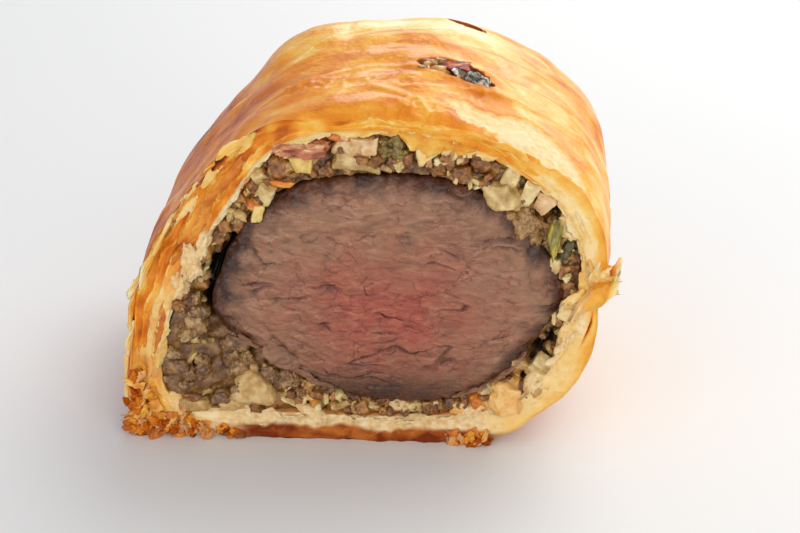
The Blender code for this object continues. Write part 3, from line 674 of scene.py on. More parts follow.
FRINGES = [  # start, end, drop, teeth, depth, lean, bake, dough, seed
    (60, 83, 4.6 * MM, 0.45, -0.9 * MM, 1.6 * MM, 0.42, 0.05, 0.13),
    (64, 81, 5.4 * MM, 0.60, 0.4 * MM, 1.2 * MM, 0.24, 0.20, 0.71),
    (53, 67, 3.6 * MM, 0.70, 0.2 * MM, 1.4 * MM, 0.24, 0.25, 0.37),
    (73, 90, 2.4 * MM, 0.80, 0.9 * MM, 1.0 * MM, 0.18, 0.30, 0.47),
    (86, 104, 1.3 * MM, 0.75, -0.4 * MM, 0.8 * MM, 0.26, 0.15, 0.29),
    (103, 122, 1.6 * MM, 0.70, -0.6 * MM, 0.5 * MM, 0.20, 0.35, 0.53),
    (121, 140, 0.9 * MM, 0.80, 0.2 * MM, 0.6 * MM, 0.16, 0.40, 0.61),
    (134, 160, 1.2 * MM, 0.90, 0.2 * MM, 0.8 * MM, 0.12, 0.45, 0.83),
    (156, 178, 1.5 * MM, 0.90, 0.1 * MM, 0.9 * MM, 0.10, 0.60, 0.97),
    (174, 197, 1.2 * MM, 1.00, 0.3 * MM, 0.8 * MM, 0.20, 0.50, 1.13),
    (36, 53, 0.9 * MM, 0.60, 0.2 * MM, 0.9 * MM, 0.34, 0.10, 1.27),
    (20, 33, 1.7 * MM, 0.50, 0.1 * MM, 0.6 * MM, 0.16, 0.45, 1.41),
    (6, 20, 0.9 * MM, 0.80, 0.2 * MM, 0.6 * MM, 0.20, 0.35, 1.57),
    (-38, -8, 1.4 * MM, 0.90, 0.2 * MM, 0.7 * MM, 0.18, 0.60, 1.73),
    (214, 236, 1.6 * MM, 0.90, 0.4 * MM, 0.5 * MM, 0.12, 0.90, 1.87),
    (234, 262, 1.5 * MM, 0.90, 0.2 * MM, 0.4 * MM, 0.12, 0.95, 1.93),
    (260, 292, 1.2 * MM, 0.95, 0.3 * MM, 0.4 * MM, 0.14, 0.95, 2.03),
    (290, 316, 1.4 * MM, 0.90, 0.2 * MM, 0.5 * MM, 0.16, 0.90, 2.13),
]

# Flakes that stand off the side: angle, depth, length, width, lift, turn in degrees, bake
FLAKES = [
    (160, 11.0 * MM, 13 * MM, 7 * MM, 1.6 * MM, 80, 0.56),
    (166, 5.6 * MM, 17 * MM, 5.5 * MM, 2.2 * MM, 80, 0.22),
    (178, 6.8 * MM, 8 * MM, 4.0 * MM, 2.6 * MM, 74, 0.20),
    (184, 9.0 * MM, 12 * MM, 8 * MM, 1.6 * MM, 66, 0.38),
    (146, 12.5 * MM, 11 * MM, 7 * MM, 1.0 * MM, 80, 0.58),
    (197, 9.5 * MM, 10 * MM, 8 * MM, 1.4 * MM, 60, 0.34),
    (152, 8.0 * MM, 12 * MM, 3 * MM, 0.7 * MM, 86, 0.60),
    (137, 8.5 * MM, 10 * MM, 3 * MM, 0.5 * MM, 88, 0.52),
    (192, 6.0 * MM, 7 * MM, 4 * MM, 1.6 * MM, 60, 0.24),
]


def flake(bm, angle, depth, length, width, lift, turn, bake):
    """A thin curled leaf of pastry, rooted in the side and lifting off towards its ragged tip."""
    a, t = math.radians(angle), math.radians(turn)
    outward = Vector((math.cos(a), 0, math.sin(a)))
    round_section = Vector((-math.sin(a), 0, math.cos(a)))
    along = round_section * math.sin(t) - Vector((0, 1, 0)) * math.cos(t)
    across = outward.cross(along)
    root = section_point(outer_radius(angle, depth), angle, depth)

    def place(u, v, back):
        side = 2 * v - 1
        ragged = 0.5 * MM * rough(u * length, side * 9 * MM, angle * MM, 1.6 * MM)
        torn = 1 + 0.30 * rough(side * 5 * MM, 0, angle * MM, 2.2 * MM) + 0.12 * rough(side * 5 * MM, 3, angle * MM, MM)
        reach = length * u * mix(1, torn, smooth(0.3, 1, u)) * (1 - 0.16 * side * side)
        waist = (0.75 + 0.35 * math.sin(2.6 * u + angle)) * (1 - 0.35 * u * u)
        spread = 0.5 * width * side * waist + ragged
        rise = lift * u**1.7 + 0.30 * lift * u * side * side - 1.0 * MM * (1 - u) ** 2
        rise += 0.5 * MM * u * rough(u * length, side * 4 * MM, angle * MM, 3.5 * MM)
        thickness = mix(0.9 * MM, 0.25 * MM, u) if back else 0.0
        point = root + along * (reach - 0.25 * length) + across * spread + outward * (rise - thickness)
        tone = bake + 0.16 * rough(u * 8 * MM, v * 8 * MM, angle * MM, 4 * MM) - 0.12 * smooth(0.8, 1, u)
        return on_base(point), (tone - 0.1 * abs(side) ** 4, 0.10, 0.0, 0.8)

    add_sheet(bm, 34, 20, place, CRUST_MARKS)


def strip(bm, angle, share, length, width, lift, bake, dough, seed):
    """A torn strip of a leaf that lies along the rim and lifts at one end."""
    def place(u, v, back):
        side = 2 * v - 1
        blunt = (1 - abs(2 * u - 1) ** 3) ** 0.5 if 0 < u < 1 else 0.0
        edge = 0.5 * width * side * blunt * (1 + 0.6 * rough(u * length, side * 2 * MM, seed, 3.6 * MM))
        edge += 0.30 * MM * blunt * side * rough(u * length, side * 2 * MM, seed + 5, 0.9 * MM)
        here = angle + length * (u - 0.5) / ARC
        place_share = share + (edge + 1.3 * MM * rough(u * length, 0, seed, 9 * MM)) / wall(here)
        depth = rim_depth(round(here, 1), round(max(0.0, min(1.0, place_share)), 2))
        depth += 0.10 * MM - lift * u**3 - 0.3 * MM * (1 - side * side) * min(1, 4 * u)
        thickness = 0.3 * MM if back else 0.0
        radius = cavity_radius(here) + wall(here) * place_share
        tone = bake + 0.14 * rough(u * length, v * 4 * MM, seed, 3 * MM) - 0.08 * abs(side) ** 3
        tone += 0.10 * rough(u * length * 0.2, edge, seed, 0.6 * MM)
        return on_base(section_point(radius, here, depth + thickness)), (tone, dough, 0.0, 0.8)

    add_sheet(bm, max(10, int(length / (0.3 * MM))), 9, place, CRUST_MARKS)


def torn_strips(bm):
    """Strips and torn scales on the left rim, and a few at the right and along the base."""
    draw = random.Random(29)
    for _ in range(9):
        angle = draw.uniform(128, 192)
        pale = draw.uniform(0.16, 0.28) if draw.random() < 0.25 else draw.uniform(0.34, 0.58)
        strip(bm, angle, draw.uniform(0.10, 0.95), draw.uniform(9, 22) * MM, draw.uniform(1.6, 3.6) * MM,
              draw.uniform(0.0, 0.5) * MM, pale, draw.uniform(0, 0.1), draw.uniform(0, 9))
    for _ in range(12):
        strip(bm, draw.gauss(197, 8), draw.uniform(0.1, 1.0), draw.uniform(5, 11) * MM, draw.uniform(2.4, 4.2) * MM,
              draw.uniform(0.1, 0.6) * MM, draw.uniform(0.18, 0.46), draw.uniform(0.05, 0.35), draw.uniform(0, 9))
    for _ in range(7):
        strip(bm, draw.uniform(38, 108), draw.uniform(0.05, 0.7), draw.uniform(8, 16) * MM,
              draw.uniform(0.8, 1.6) * MM, draw.uniform(0.0, 0.15) * MM, draw.uniform(0.28, 0.45),
              0.0, draw.uniform(0, 9))
    for _ in range(10):
        strip(bm, draw.uniform(-40, 40), draw.uniform(0.0, 0.6), draw.uniform(6, 15) * MM,
              draw.uniform(1.0, 2.0) * MM, draw.uniform(0.1, 0.3) * MM, draw.uniform(0.15, 0.38),
              draw.uniform(0.2, 0.5), draw.uniform(0, 9))


def seam_lip(bm):
    """The flared edge of the top sheet, on the right: a ruffled tongue across the rim that dies down behind it."""
    def place(v, u, back):
        depth = -1.6 * MM + u**1.5 * SEAM_LENGTH
        flare = hump(depth, SEAM_FLARE)
        ragged = 0.9 * MM * rough(depth, v * 9 * MM, 0, 4 * MM) + 0.5 * MM * rough(depth, v * 9 * MM, 4, 1.2 * MM)
        tip = outer_radius(SEAM_ANGLE, depth) + SEAM_EDGE + (SEAM_LIP - SEAM_EDGE) * flare + ragged
        tip -= flare * (1.2 * MM if back else 0.5 * MM)
        root = cavity_radius(SEAM_ANGLE) - (2.8 if back else 0.4) * MM * flare + (1 - flare) * 0.5 * wall(SEAM_ANGLE)
        torn = 1.2 * MM * rough(depth * 1.5, 2, 0, 1.8 * MM) * (1 - v)
        rise = flare * (0.4 * MM + 5.0 * MM * (v - 0.45) + 0.5 * MM * math.sin(7 * v))
        fan = smooth(0.62, 1, v) * flare
        half = 0.8 * MM + 2.3 * MM * flare * hump(v - 0.50, 0.38)
        ragged_top = 1 + 0.5 * rough(depth, 3, 0, 1.6 * MM)
        lower = half + 2.6 * MM * flare * (1 - smooth(0, 0.45, v)) + 0.8 * MM * fan
        side = -lower if back else half + 3.4 * MM * fan * ragged_top
        point = section_point(root + torn + (tip - root) * v, SEAM_ANGLE, depth)
        crumple = 0.5 * MM * rough(depth, v * 12 * MM, 1 if back else 2, 2 * MM)
        crumple += 0.35 * MM * rough(depth * 0.4, v * 12 * MM, 6, 0.7 * MM)
        crumple += 0.45 * MM * fan * math.sin(26 * (u + 0.4 * v))
        point += Vector((0, 0.5 * crumple, rise + side + crumple))
        bake = 0.40 + 0.02 * flare + 0.22 * rough(depth, v * 14 * MM, 5, 3 * MM) - 0.36 * fan
        inner = flare * (1 - smooth(0.10, 0.42, v)) * (1.0 if back else 0.5)
        bake -= 0.20 * inner
        dough = 0.85 * inner
        return point, (bake, dough, 0.0, 0.8)

    add_sheet(bm, 44, 90, place, CRUST_MARKS)


# Crumbs of crust at the foot of the cut: x, reach in front of the cut, height, half width, bake
CRUMB_ROOT = 5 * MM
SKIRT_CRUMBS = [
    (-53.0 * MM, 0.0 * MM, 5.8 * MM, 3.0 * MM, 0.70),
    (-49.0 * MM, 1.6 * MM, 4.0 * MM, 2.4 * MM, 0.66),
    (-42.5 * MM, 0.8 * MM, 3.2 * MM, 2.6 * MM, 0.50),
    (-30.0 * MM, 0.2 * MM, 2.0 * MM, 4.6 * MM, 0.92),
    (25.0 * MM, 0.5 * MM, 2.8 * MM, 3.0 * MM, 0.60),
]
FOOT_BITS = [  # x of the middle and spread in millimetres, count, lowest and spread of the height
    (-52, 1.6, 46, 0.6, 4.0), (-46, 3.2, 44, 0.4, 2.6), (-37, 3.5, 22, 0.5, 1.4), (25, 3.0, 16, 0.5, 1.4),
    (-52.5, 1.2, 22, 7.0, 3.5),
]
# Torn inner dough that stands in from the rim: angle, share, half extents round, deep and across, bake, dough
DOUGH_LUMPS = [
    (170, 0.02, 5.5 * MM, 1.8 * MM, 2.3 * MM, 0.30, 0.92), (163, 0.00, 3.6 * MM, 1.5 * MM, 1.4 * MM, 0.2, 0.95),
    (178, 0.04, 3.6 * MM, 1.6 * MM, 1.8 * MM, 0.30, 0.92), (24, -0.12, 3.4 * MM, 1.9 * MM, 2.5 * MM, 0.18, 0.7),
    (352, -0.04, 3.4 * MM, 1.8 * MM, 2.0 * MM, 0.22, 0.65), (357, -0.20, 2.4 * MM, 1.7 * MM, 2.6 * MM, 0.14, 0.8),
    (1, -0.02, 2.6 * MM, 1.6 * MM, 2.2 * MM, 0.22, 0.5), (345, 0.02, 3.6 * MM, 1.8 * MM, 1.8 * MM, 0.12, 0.8),
    (330, 0.05, 5.0 * MM, 1.8 * MM, 2.2 * MM, 0.10, 0.95), (226, 0.05, 5.5 * MM, 1.8 * MM, 1.9 * MM, 0.1, 0.95),
    (246, 0.05, 6.0 * MM, 1.6 * MM, 1.3 * MM, 0.1, 1.0), (283, 0.1, 5.0 * MM, 1.5 * MM, 1.1 * MM, 0.15, 0.95),
    (306, 0.05, 5.0 * MM, 1.6 * MM, 1.6 * MM, 0.1, 0.95), (212, 0.10, 3.6 * MM, 1.8 * MM, 2.4 * MM, 0.25, 0.6),
]
# Shards of torn leaves at the foot: x, z, length, width, turn in degrees from +X towards +Z, reach forward, bake
SHARDS = [
    (-51.0, 5.5, 7.5, 4.0, 196, 0.2, 0.50), (-52.0, 3.0, 6.0, 3.0, 188, 0.5, 0.62), (-51.0, 1.6, 6.0, 3.2, 238, 0.9, 0.40),
    (-48.0, 3.5, 6.5, 3.0, 262, 1.1, 0.46), (-49.5, 7.5, 5.5, 3.4, 205, 0.4, 0.30), (-45.0, 4.2, 5.0, 2.8, 272, 1.2, 0.52),
    (-41.5, 3.6, 4.5, 2.6, 282, 1.0, 0.30), (-50.5, 11.0, 5.0, 3.0, 190, 0.3, 0.22), (-37.0, 2.6, 4.0, 2.4, 275, 0.7, 0.44),
    (-53.0, 13.5, 5.0, 2.6, 160, 0.4, 0.20), (-50.0, 3.2, 6.5, 3.0, 222, 1.3, 0.34),
    (55.0, 44.6, 5.0, 2.6, 20, 1.8, 0.14), (54.4, 45.8, 5.2, 2.6, 48, 1.6, 0.06), (55.2, 42.4, 5.0, 2.4, -8, 1.4, 0.22),
    (53.0, 46.0, 4.6, 2.4, 72, 1.3, 0.10), (49.4, 40.2, 5.0, 2.8, 200, 1.4, 0.16),
    (22.0, 2.2, 4.5, 2.6, 280, 0.8, 0.55), (27.0, 2.6, 4.5, 2.6, 300, 0.7, 0.48),
]


def crumb(bm, centre, half, turn, bake, dough, craggy):
    """A ragged layered crumb. Its half extents run along X, Y and Z before the turn about Y, in degrees."""
    piece = bmesh.new()
    bmesh.ops.create_icosphere(piece, subdivisions=5, radius=1)
    layers = marked(piece, CRUST_MARKS)
    spin = Matrix.Rotation(math.radians(-turn), 3, "Y")
    for vertex in piece.verts:
        n = vertex.co.copy()
        local = Vector((n.x * half[0], n.y * half[1], n.z * half[2]))
        seen = local + centre
        grain = 1 + craggy * (0.55 * rough(seen.x, seen.y, seen.z, 3.2 * MM) + 0.30 * rough(*seen, 1.3 * MM)
                              + 0.16 * rough(*seen, 0.6 * MM))
        vertex.co = on_base(spin @ (local * grain) + centre)
        tone = bake + 0.22 * rough(*seen, 2.2 * MM) - 0.10 * (grain - 1)
        stain = 0.5 if abs(seen.x) < 34 * MM and vertex.co.z < 3 * MM else 0.0
        for layer, value in zip(layers, (tone, dough, stain, 0.8)):
            vertex[layer] = value
    join(bm, piece)


def shard(bm, x, z, length, width, turn, reach, bake):
    """A small torn leaf in the plane of the cut that juts out at the foot. Sizes are in millimetres."""
    t = math.radians(turn)
    along, across = Vector((math.cos(t), 0, math.sin(t))), Vector((-math.sin(t), 0, math.cos(t)))
    root = Vector((x * MM, CUT_Y + 0.6 * MM, z * MM))

    def place(u, v, back):
        side = 2 * v - 1
        torn = 1 + 0.5 * rough(side * 4 * MM, x * MM, z * MM, 1.8 * MM)
        spot = along * length * MM * (u * mix(1, torn, u) - 0.4)
        edge = side * (1 - 0.45 * u) + 0.35 * rough(u * 6 * MM, side * MM, x * MM, 1.3 * MM)
        spot += across * 0.5 * width * MM * edge
        rise = reach * MM * u * u + 0.35 * MM * rough(u * 5 * MM, side * 3 * MM, z * MM, 1.6 * MM)
        depth = 0.5 * MM * (1 - 0.5 * u) if back else 0.0
        tone = bake + 0.12 + 0.2 * rough(u * 6 * MM, v * 5 * MM, x * MM, 2 * MM) - 0.12 * u
        return on_base(root + spot + Vector((0, depth - rise, 0))), (tone, 0.12, 0.0, 0.8)

    add_sheet(bm, 18, 12, place, CRUST_MARKS)


def make_leaves(finish):
    bm = bmesh.new()
    for torn in FRINGES:
        fringe(bm, *torn)
    for leaf in FLAKES:
        flake(bm, *leaf)
    torn_strips(bm)
    seam_lip(bm)
    add_piece("crust_leaves", bm, finish, "crust", "crust")


def make_crumbs(finish):
    bm = bmesh.new()
    for x, reach, height, half_width, bake in SKIRT_CRUMBS:
        length = (reach + CRUMB_ROOT) / 2
        centre = Vector((x, CUT_Y + CRUMB_ROOT - length, 0.38 * height))
        crumb(bm, centre, (half_width, length, 0.62 * height), 0, bake, 0.1, 0.9)
    for angle, share, along, deep, across, bake, dough in DOUGH_LUMPS:
        centre = section_point(cavity_radius(angle) + share * wall(angle), angle, rim_depth(angle, 0) + 0.5 * deep)
        crumb(bm, centre, (across, deep, along), angle, bake, dough, 0.45 if 190 < angle < 340 else 1.0)
    for torn in SHARDS:
        shard(bm, *torn)
    draw = random.Random(83)
    for middle, spread, count, low, high in FOOT_BITS:
        for _ in range(count):
            x, z = draw.gauss(middle, spread) * MM, abs(draw.gauss(0, high)) * MM + low * MM
            half = (draw.uniform(0.6, 2.2) * MM, draw.uniform(0.5, 1.1) * MM, draw.uniform(0.25, 0.8) * MM)
            place = Vector((x, CUT_Y + draw.uniform(-0.2, 2.2) * MM, z))
            marks = (draw.uniform(0.35, 0.80), draw.choice((0.0, 0.0, 0.4)), 0.0, 0.8)
            lump(bm, place, half, draw.uniform(0, 180), 4, 0.9, draw, cuts=5, tilt=0.7, grit=0.3 * MM,
                 names=CRUST_MARKS, marks=marks)
    add_piece("crust_crumbs", bm, finish, "crust", "crust")


# Filling: its core, and the chopped pieces

# The first mark grows with depth behind the cut and paints shade in the filling's hollows.
CORE_MARKS = ("deep", "fresh")


def ring_radius(angle, share):
    """A radius between the beef and the crust, a gap clear of both at shares 0 and 1."""
    inner = beef_radius(angle) + GAP
    outer = cavity_radius(angle) - GAP
    return inner + (outer - inner) * share


def filling_depth(angle, share):
    """How far the cut face of the filling's core lies behind the cut plane."""
    arc, out = angle * ARC, share * 8 * MM
    depth = 3.0 * MM + 1.0 * MM * rough(arc, out, 0, 5 * MM) + 0.8 * MM * rough(arc, out, 3, 2.2 * MM)
    depth += 0.30 * MM * rough(arc, out, 6, 0.9 * MM)
    mush = hump(turn_between(angle, 205), 17)
    depth -= 1.3 * MM * mush * (1 + 1.2 * rough(arc, out * 1.4, 12, 4.5 * MM))
    depth += mush * (0.7 * MM * rough(arc, out * 1.4, 17, 1.9 * MM) + 0.35 * MM * rough(arc, out * 1.4, 19, 0.8 * MM))
    for middle, centre, deep, spread, width in HOLLOWS:
        depth += deep * hump(turn_between(angle, middle), spread) * hump(share - centre, width)
    return depth


def filling_face_row(share):
    def row(angle):
        depth = filling_depth(angle, share)
        # The first mark darkens the core in its deeper hollows: painted shade.
        return section_point(ring_radius(angle, share), angle, depth), (smooth(3.5 * MM, 9 * MM, depth), 0.0)
    return row


def filling_row(share, depth):
    return lambda angle: (section_point(ring_radius(angle, share), angle, depth), (1.0, 0.0))


def filling_end_row(turn):
    def row(angle):
        start = section_point(cavity_radius(angle) - GAP, angle, 0)
        return rounded_end(start, END_ROUNDING - GAP, LENGTH - END_WALL - GAP, turn), (1.0, 0.0)
    return row


def beef_end(angle, turn, outward=0.0):
    """A point of the beef's rounded end, or of the hollow in the filling that holds it."""
    start = section_point(beef_radius(angle) + outward, angle, 0)
    end = LENGTH - END_WALL - END_FILLING + outward
    return rounded_end(start, END_ROUNDING + outward, end, turn)


def filling_rows():
    rows = [filling_end_row(turn) for turn in (90, 74, 52, 30, 12)]
    rows += [filling_row(1, depth * MM) for depth in (47, 38, 24, 16)]
    rows += [filling_face_row(share) for share in np.linspace(1, 0, 42)]
    rows += [filling_row(0, depth * MM) for depth in (16, 38)]
    rows += [lambda angle, t=turn: (beef_end(angle, t, GAP), (1.0, 0.0)) for turn in (30, 60, 90)]
    return rows


def lump(bm, place, size, turn, boxy, ragged, draw, cuts=4, tilt=0.35, bend=0.0, grit=0.0, names=("tone",),
         marks=None):
    """A chopped piece: a box with worn corners, its faces uneven, bent like a petal where bend is given.

    size holds the half extents, and turn is in degrees.
    """
    piece = bmesh.new()
    bmesh.ops.create_cube(piece, size=2)
    bmesh.ops.subdivide_edges(piece, edges=piece.edges[:], cuts=cuts, use_grid_fill=True)
    spin = (Matrix.Rotation(math.radians(-turn), 3, "Y") @ Matrix.Rotation(draw.uniform(-tilt, tilt), 3, "X")
            @ Matrix.Rotation(draw.uniform(-tilt, tilt), 3, "Z"))
    taper, skew = draw.uniform(-0.35, 0.35), draw.uniform(-0.4, 0.4)
    seed = draw.uniform(0, 9)
    small = min(size)
    layers = marked(piece, names)
    marks = marks or (draw.uniform(-1, 1),)
    for vertex in piece.verts:
        c = vertex.co
        length = sum(abs(value) ** boxy for value in c) ** (1 / boxy)
        n = c / length
        local = Vector((n.x * size[0] * (1 + taper * n.z) + skew * size[2] * n.z * 0.5, n.y * size[1],
                        n.z * size[2] * (1 + 0.5 * taper * n.x)))
        uneven = noise.noise(n * 1.3 + Vector((seed, 0, 0))) + 0.45 * noise.noise(n * 3.4 + Vector((0, seed, 0)))
        local += n * small * ragged * uneven
        local.z += bend * size[2] * (n.x * n.x - 0.4)
        local += n * grit * noise.noise(local / (0.7 * MM) + Vector((0, 0, seed)))
        vertex.co = on_base(spin @ local + place)
        for layer, value in zip(layers, marks):
            vertex[layer] = value
    join(bm, piece)


# Larger chopped pieces at the cut: kind, x, z, half width and half height in millimetres, turn in degrees,
# how boxy, how ragged, and the depth of their middle
CUT_PIECES = [
    ("ham", -0.6, 75.6, 4.4, 2.5, -6, 5, 0.25, 2.0), ("pepper", -3.7, 77.9, 2.7, 1.1, -8, 5, 0.25, 1.2),
    ("ham", 2.6, 75.0, 1.9, 1.7, 10, 5, 0.25, 1.4), ("onion", -0.6, 71.0, 5.0, 2.0, -9, 5, 0.35, 1.8),
    ("herb", 7.1, 75.2, 2.8, 2.6, 15, 3, 0.75, 2.0), ("herb", 9.0, 73.4, 1.4, 1.4, 40, 3, 0.8, 2.2),
    ("mushroom", 26.5, 72.4, 2.4, 2.8, 25, 4, 0.35, 2.6), ("mushroom", 22.5, 69.2, 2.1, 1.9, -10, 4, 0.4, 1.8),
    ("onion", 31.6, 64.6, 3.6, 3.0, 6, 5, 0.25, 0.6), ("onion", 34.2, 69.0, 1.6, 3.0, -24, 5, 0.25, 1.6),
    ("onion", 37.6, 65.0, 1.5, 3.2, -30, 5, 0.3, 0.9), ("onion", 38.6, 67.6, 1.6, 1.5, -30, 4, 0.3, 3.2),
    ("ham", 41.2, 62.6, 1.9, 2.4, -34, 5, 0.25, 1.8), ("onion", 36.4, 60.9, 2.4, 1.0, -12, 4, 0.3, 2.6), ("crumbly", 36.3, 57.9, 3.4, 3.9, 20, 3, 0.5, 1.4),
    ("crumbly", 38.6, 54.2, 2.6, 2.6, 20, 3, 0.6, 2.4), ("olive", 46.3, 51.6, 1.3, 2.9, -14, 4, 0.3, 1.6),
    ("crumbly", 41.2, 51.0, 1.5, 2.6, 20, 3, 0.6, 3.0), ("onion", 44.2, 47.3, 1.2, 1.9, 0, 4, 0.4, 1.8),
    ("mushroom", -17.3, 70.1, 2.2, 2.9, 10, 4, 0.25, 1.6), ("yellow", -12.1, 71.4, 2.3, 2.0, 4, 7, 0.12, 0.9),
    ("onion", -14.7, 69.8, 0.9, 0.8, 20, 4, 0.3, 0.8), ("pepper", -17.0, 65.9, 2.7, 0.7, -6, 5, 0.2, 0.9),
    ("onion", -20.6, 63.6, 1.9, 2.7, -22, 6, 0.2, 0.8), ("onion", -21.6, 67.2, 1.5, 2.4, 30, 4, 0.35, 1.6),
    ("yellow", -22.6, 58.9, 1.2, 2.2, -8, 5, 0.3, 1.0), ("pepper", -23.0, 60.8, 1.6, 0.8, 0, 4, 0.3, 1.0),
    ("mush", -39.6, 27.0, 3.9, 5.4, -8, 3, 0.3, 4.2), ("mush", -40.5, 20.0, 3.4, 4.2, 12, 3, 0.35, 3.8),
    ("mush", -36.6, 14.6, 3.6, 3.4, 0, 3, 0.3, 2.8), ("mushroom", -33.2, 12.6, 2.2, 2.8, -20, 3, 0.3, 3.2),
    ("mush", -43.6, 13.6, 2.8, 3.6, 20, 3, 0.4, 2.6), ("suet", -25.0, 13.2, 5.2, 4.8, -8, 2.6, 0.2, 0.6),
    ("suet", -30.6, 9.4, 3.4, 1.9, 5, 3, 0.25, 0.6), ("suet", -39.6, 8.2, 4.0, 1.9, 4, 3, 0.3, 1.0),
    ("suet", -19.5, 10.4, 3.2, 2.2, -4, 3, 0.2, 2.2), ("mush", -30.5, 20.8, 2.4, 3.0, 30, 3, 0.3, 3.0),
    ("onion", 41.6, 20.6, 2.2, 3.3, -16, 4, 0.15, 1.6), ("golden", 33.6, 13.3, 3.6, 3.8, -10, 9, 0.35, 0.3),
    ("onion", 29.8, 11.2, 1.1, 3.2, 10, 4, 0.2, 1.6), ("suet", 37.6, 21.0, 3.4, 1.2, -24, 4, 0.25, 2.6),
    ("ham", 8.3, 9.4, 3.0, 1.5, 4, 4, 0.3, 2.6), ("golden", 22.9, 9.0, 2.0, 1.8, 10, 4, 0.3, 2.2),
    ("pepper", 27.4, 10.4, 2.0, 2.8, -12, 4, 0.3, 2.0), ("mushroom", 16.5, 9.4, 2.6, 1.4, 5, 4, 0.3, 2.6),
    ("onion", 12.6, 9.2, 1.8, 1.2, -8, 4, 0.3, 2.2), ("mushroom", 39.5, 14.6, 2.6, 2.6, 30, 4, 0.3, 2.4),
    ("suet", 41.0, 15.8, 2.0, 2.6, 20, 4, 0.3, 1.6), ("mushroom", -10.5, 11.2, 2.6, 1.0, -24, 4, 0.3, 2.6),
    ("onion", -4.5, 8.8, 2.8, 1.0, 3, 4, 0.3, 2.4), ("suet", 2.0, 8.6, 2.8, 1.2, 0, 4, 0.3, 2.6),
]

# How many small pieces of each kind are strewn through the cut, and the span of their half sizes
STREWN = [
    ("mushroom", 150, 0.6, 1.9), ("onion", 110, 0.6, 1.9), ("crumbly", 80, 0.5, 1.5), ("herb", 60, 0.3, 0.8),
    ("mush", 26, 1.2, 3.0), ("golden", 18, 0.5, 1.3), ("pepper", 10, 0.4, 1.0), ("olive", 18, 0.3, 0.9),
    ("ham", 16, 0.5, 1.3),
]
OPEN_DEPTH = 6.2 * MM  # hollows deeper than this hold no strewn pieces


def make_filling(core_finish, finishes):
    core = shape_rows(filling_rows(), FILLING_SEGMENTS, CORE_MARKS)
    add_piece("filling_core", core, core_finish, "filling", "filling")
    kinds = {}
    for index, (kind, x, z, half_width, half_height, turn, boxy, ragged, depth) in enumerate(CUT_PIECES):
        draw = random.Random(500 + index)
        bm = kinds.setdefault(kind, bmesh.new())
        reach = (0.5 if kind in ("onion", "ham") else 0.9) * min(half_width, half_height) + 1.0
        place = Vector((x * MM, CUT_Y + (depth + 0.6 * reach) * MM, z * MM))
        size = (half_width * MM, reach * MM, half_height * MM)
        bend = draw.choice((-0.2, 0.25)) if kind in ("onion", "ham") else 0.0
        if kind in ("onion", "ham", "yellow"):
            boxy, ragged = 12, 0.55 * ragged
        gritty = {"crumbly": 0.50, "herb": 0.45, "mush": 0.45, "suet": 0.25}.get(kind, 0.06) * MM
        tilt = {"onion": 0.60, "suet": 0.05, "golden": 0.05, "yellow": 0.10}.get(kind, 0.25)
        lump(bm, place, size, turn, boxy, ragged, draw, cuts=13, tilt=tilt, bend=bend, grit=gritty)
    draw = random.Random(41)
    for kind, count, smallest, largest in STREWN:
        bm = kinds.setdefault(kind, bmesh.new())
        for _ in range(count):
            angle = draw.gauss(206, 13) if kind == "mush" else draw.uniform(0, 360)
            share = draw.uniform(0.08, 0.92)
            depth = filling_depth(angle, share)
            pasty = 188 < angle < 228 and kind != "mush" and draw.random() < 0.75
            if depth > OPEN_DEPTH or pasty:
                continue
            half = [draw.uniform(smallest, largest) * MM for _ in range(3)]
            room = ring_radius(angle, 1) - ring_radius(angle, 0)
            half = [min(h, 0.34 * room) for h in half]
            if kind == "onion":
                half[2] *= 0.5
            sunk = 0.5 if kind == "mush" else draw.uniform(-0.2, 0.5)
            place = section_point(ring_radius(angle, share), angle, depth - sunk * half[1])
            soft = 2.4 if kind == "mush" else draw.choice((4, 6, 10))
            bend = draw.uniform(-0.8, 0.8) if kind == "onion" else 0.0
            lump(bm, place, half, draw.uniform(0, 180), soft, 0.35 if kind == "mush" else 0.45, draw, bend=bend,
                 cuts=11 if kind == "mush" else 4, grit=0.5 * MM if kind == "mush" else 0.0)
    for x, behind, half_length, half_width, turn in VENTS:
        t = math.radians(turn)
        far = behind > 40 * MM
        for _ in range(12 if far else 110):
            along, across = draw.uniform(-0.95, 0.9), draw.uniform(-0.85, 0.85)
            dx = along * half_length * math.cos(t) - across * half_width * math.sin(t)
            dy = along * half_length * math.sin(t) + across * half_width * math.cos(t)
            kind = draw.choice(("mushroom", "golden", "golden", "crumbly", "golden", "pepper"))
            angle = round(angle_at(x + dx, 80 * MM), 1)
            sunk = draw.uniform(0.1, 2.4) * MM + (2.6 * MM if far else 1.2 * MM * smooth(0, 0.6, along))
            place = section_point(outer_radius(angle, behind) - sunk, angle, behind + dy)
            half = [draw.uniform(0.5, 1.5) * MM for _ in range(3)]
            lump(kinds[kind], place, half, draw.uniform(0, 180), 5, 0.5, draw, tilt=1.2)
    for kind, bm in kinds.items():
        add_piece("filling_" + kind, bm, finishes[kind], "filling", "filling")


# The bacon, the green pepper and what shows in the front steam slit: x, depth, z, half extents, turn

SINGLES = [  # node, slot, place, half extents, turn in degrees, boxy, ragged
    ("bacon_piece", "bacon", (-12.4, 1.5, 74.7), (5.4, 2.4, 1.55), 3, 7, 0.75),
    ("green_piece", "green_vegetable", (43.4, 1.2, 54.2), (1.7, 2.2, 4.6), -16, 5, 0.35),
]
VENT_PIECES = [  # node, slot, x and depth from the slit's middle, height over the skin, half extents, turns
    ("red_piece", "red_vegetable", (0.2, 1.0, 1.3), (3.1, 2.1, 2.9), (24, 24, -14)),
    ("dark_piece", "dark_skin", (3.5, -1.8, -0.8), (3.7, 1.5, 1.3), (28, 14, -24)),
]


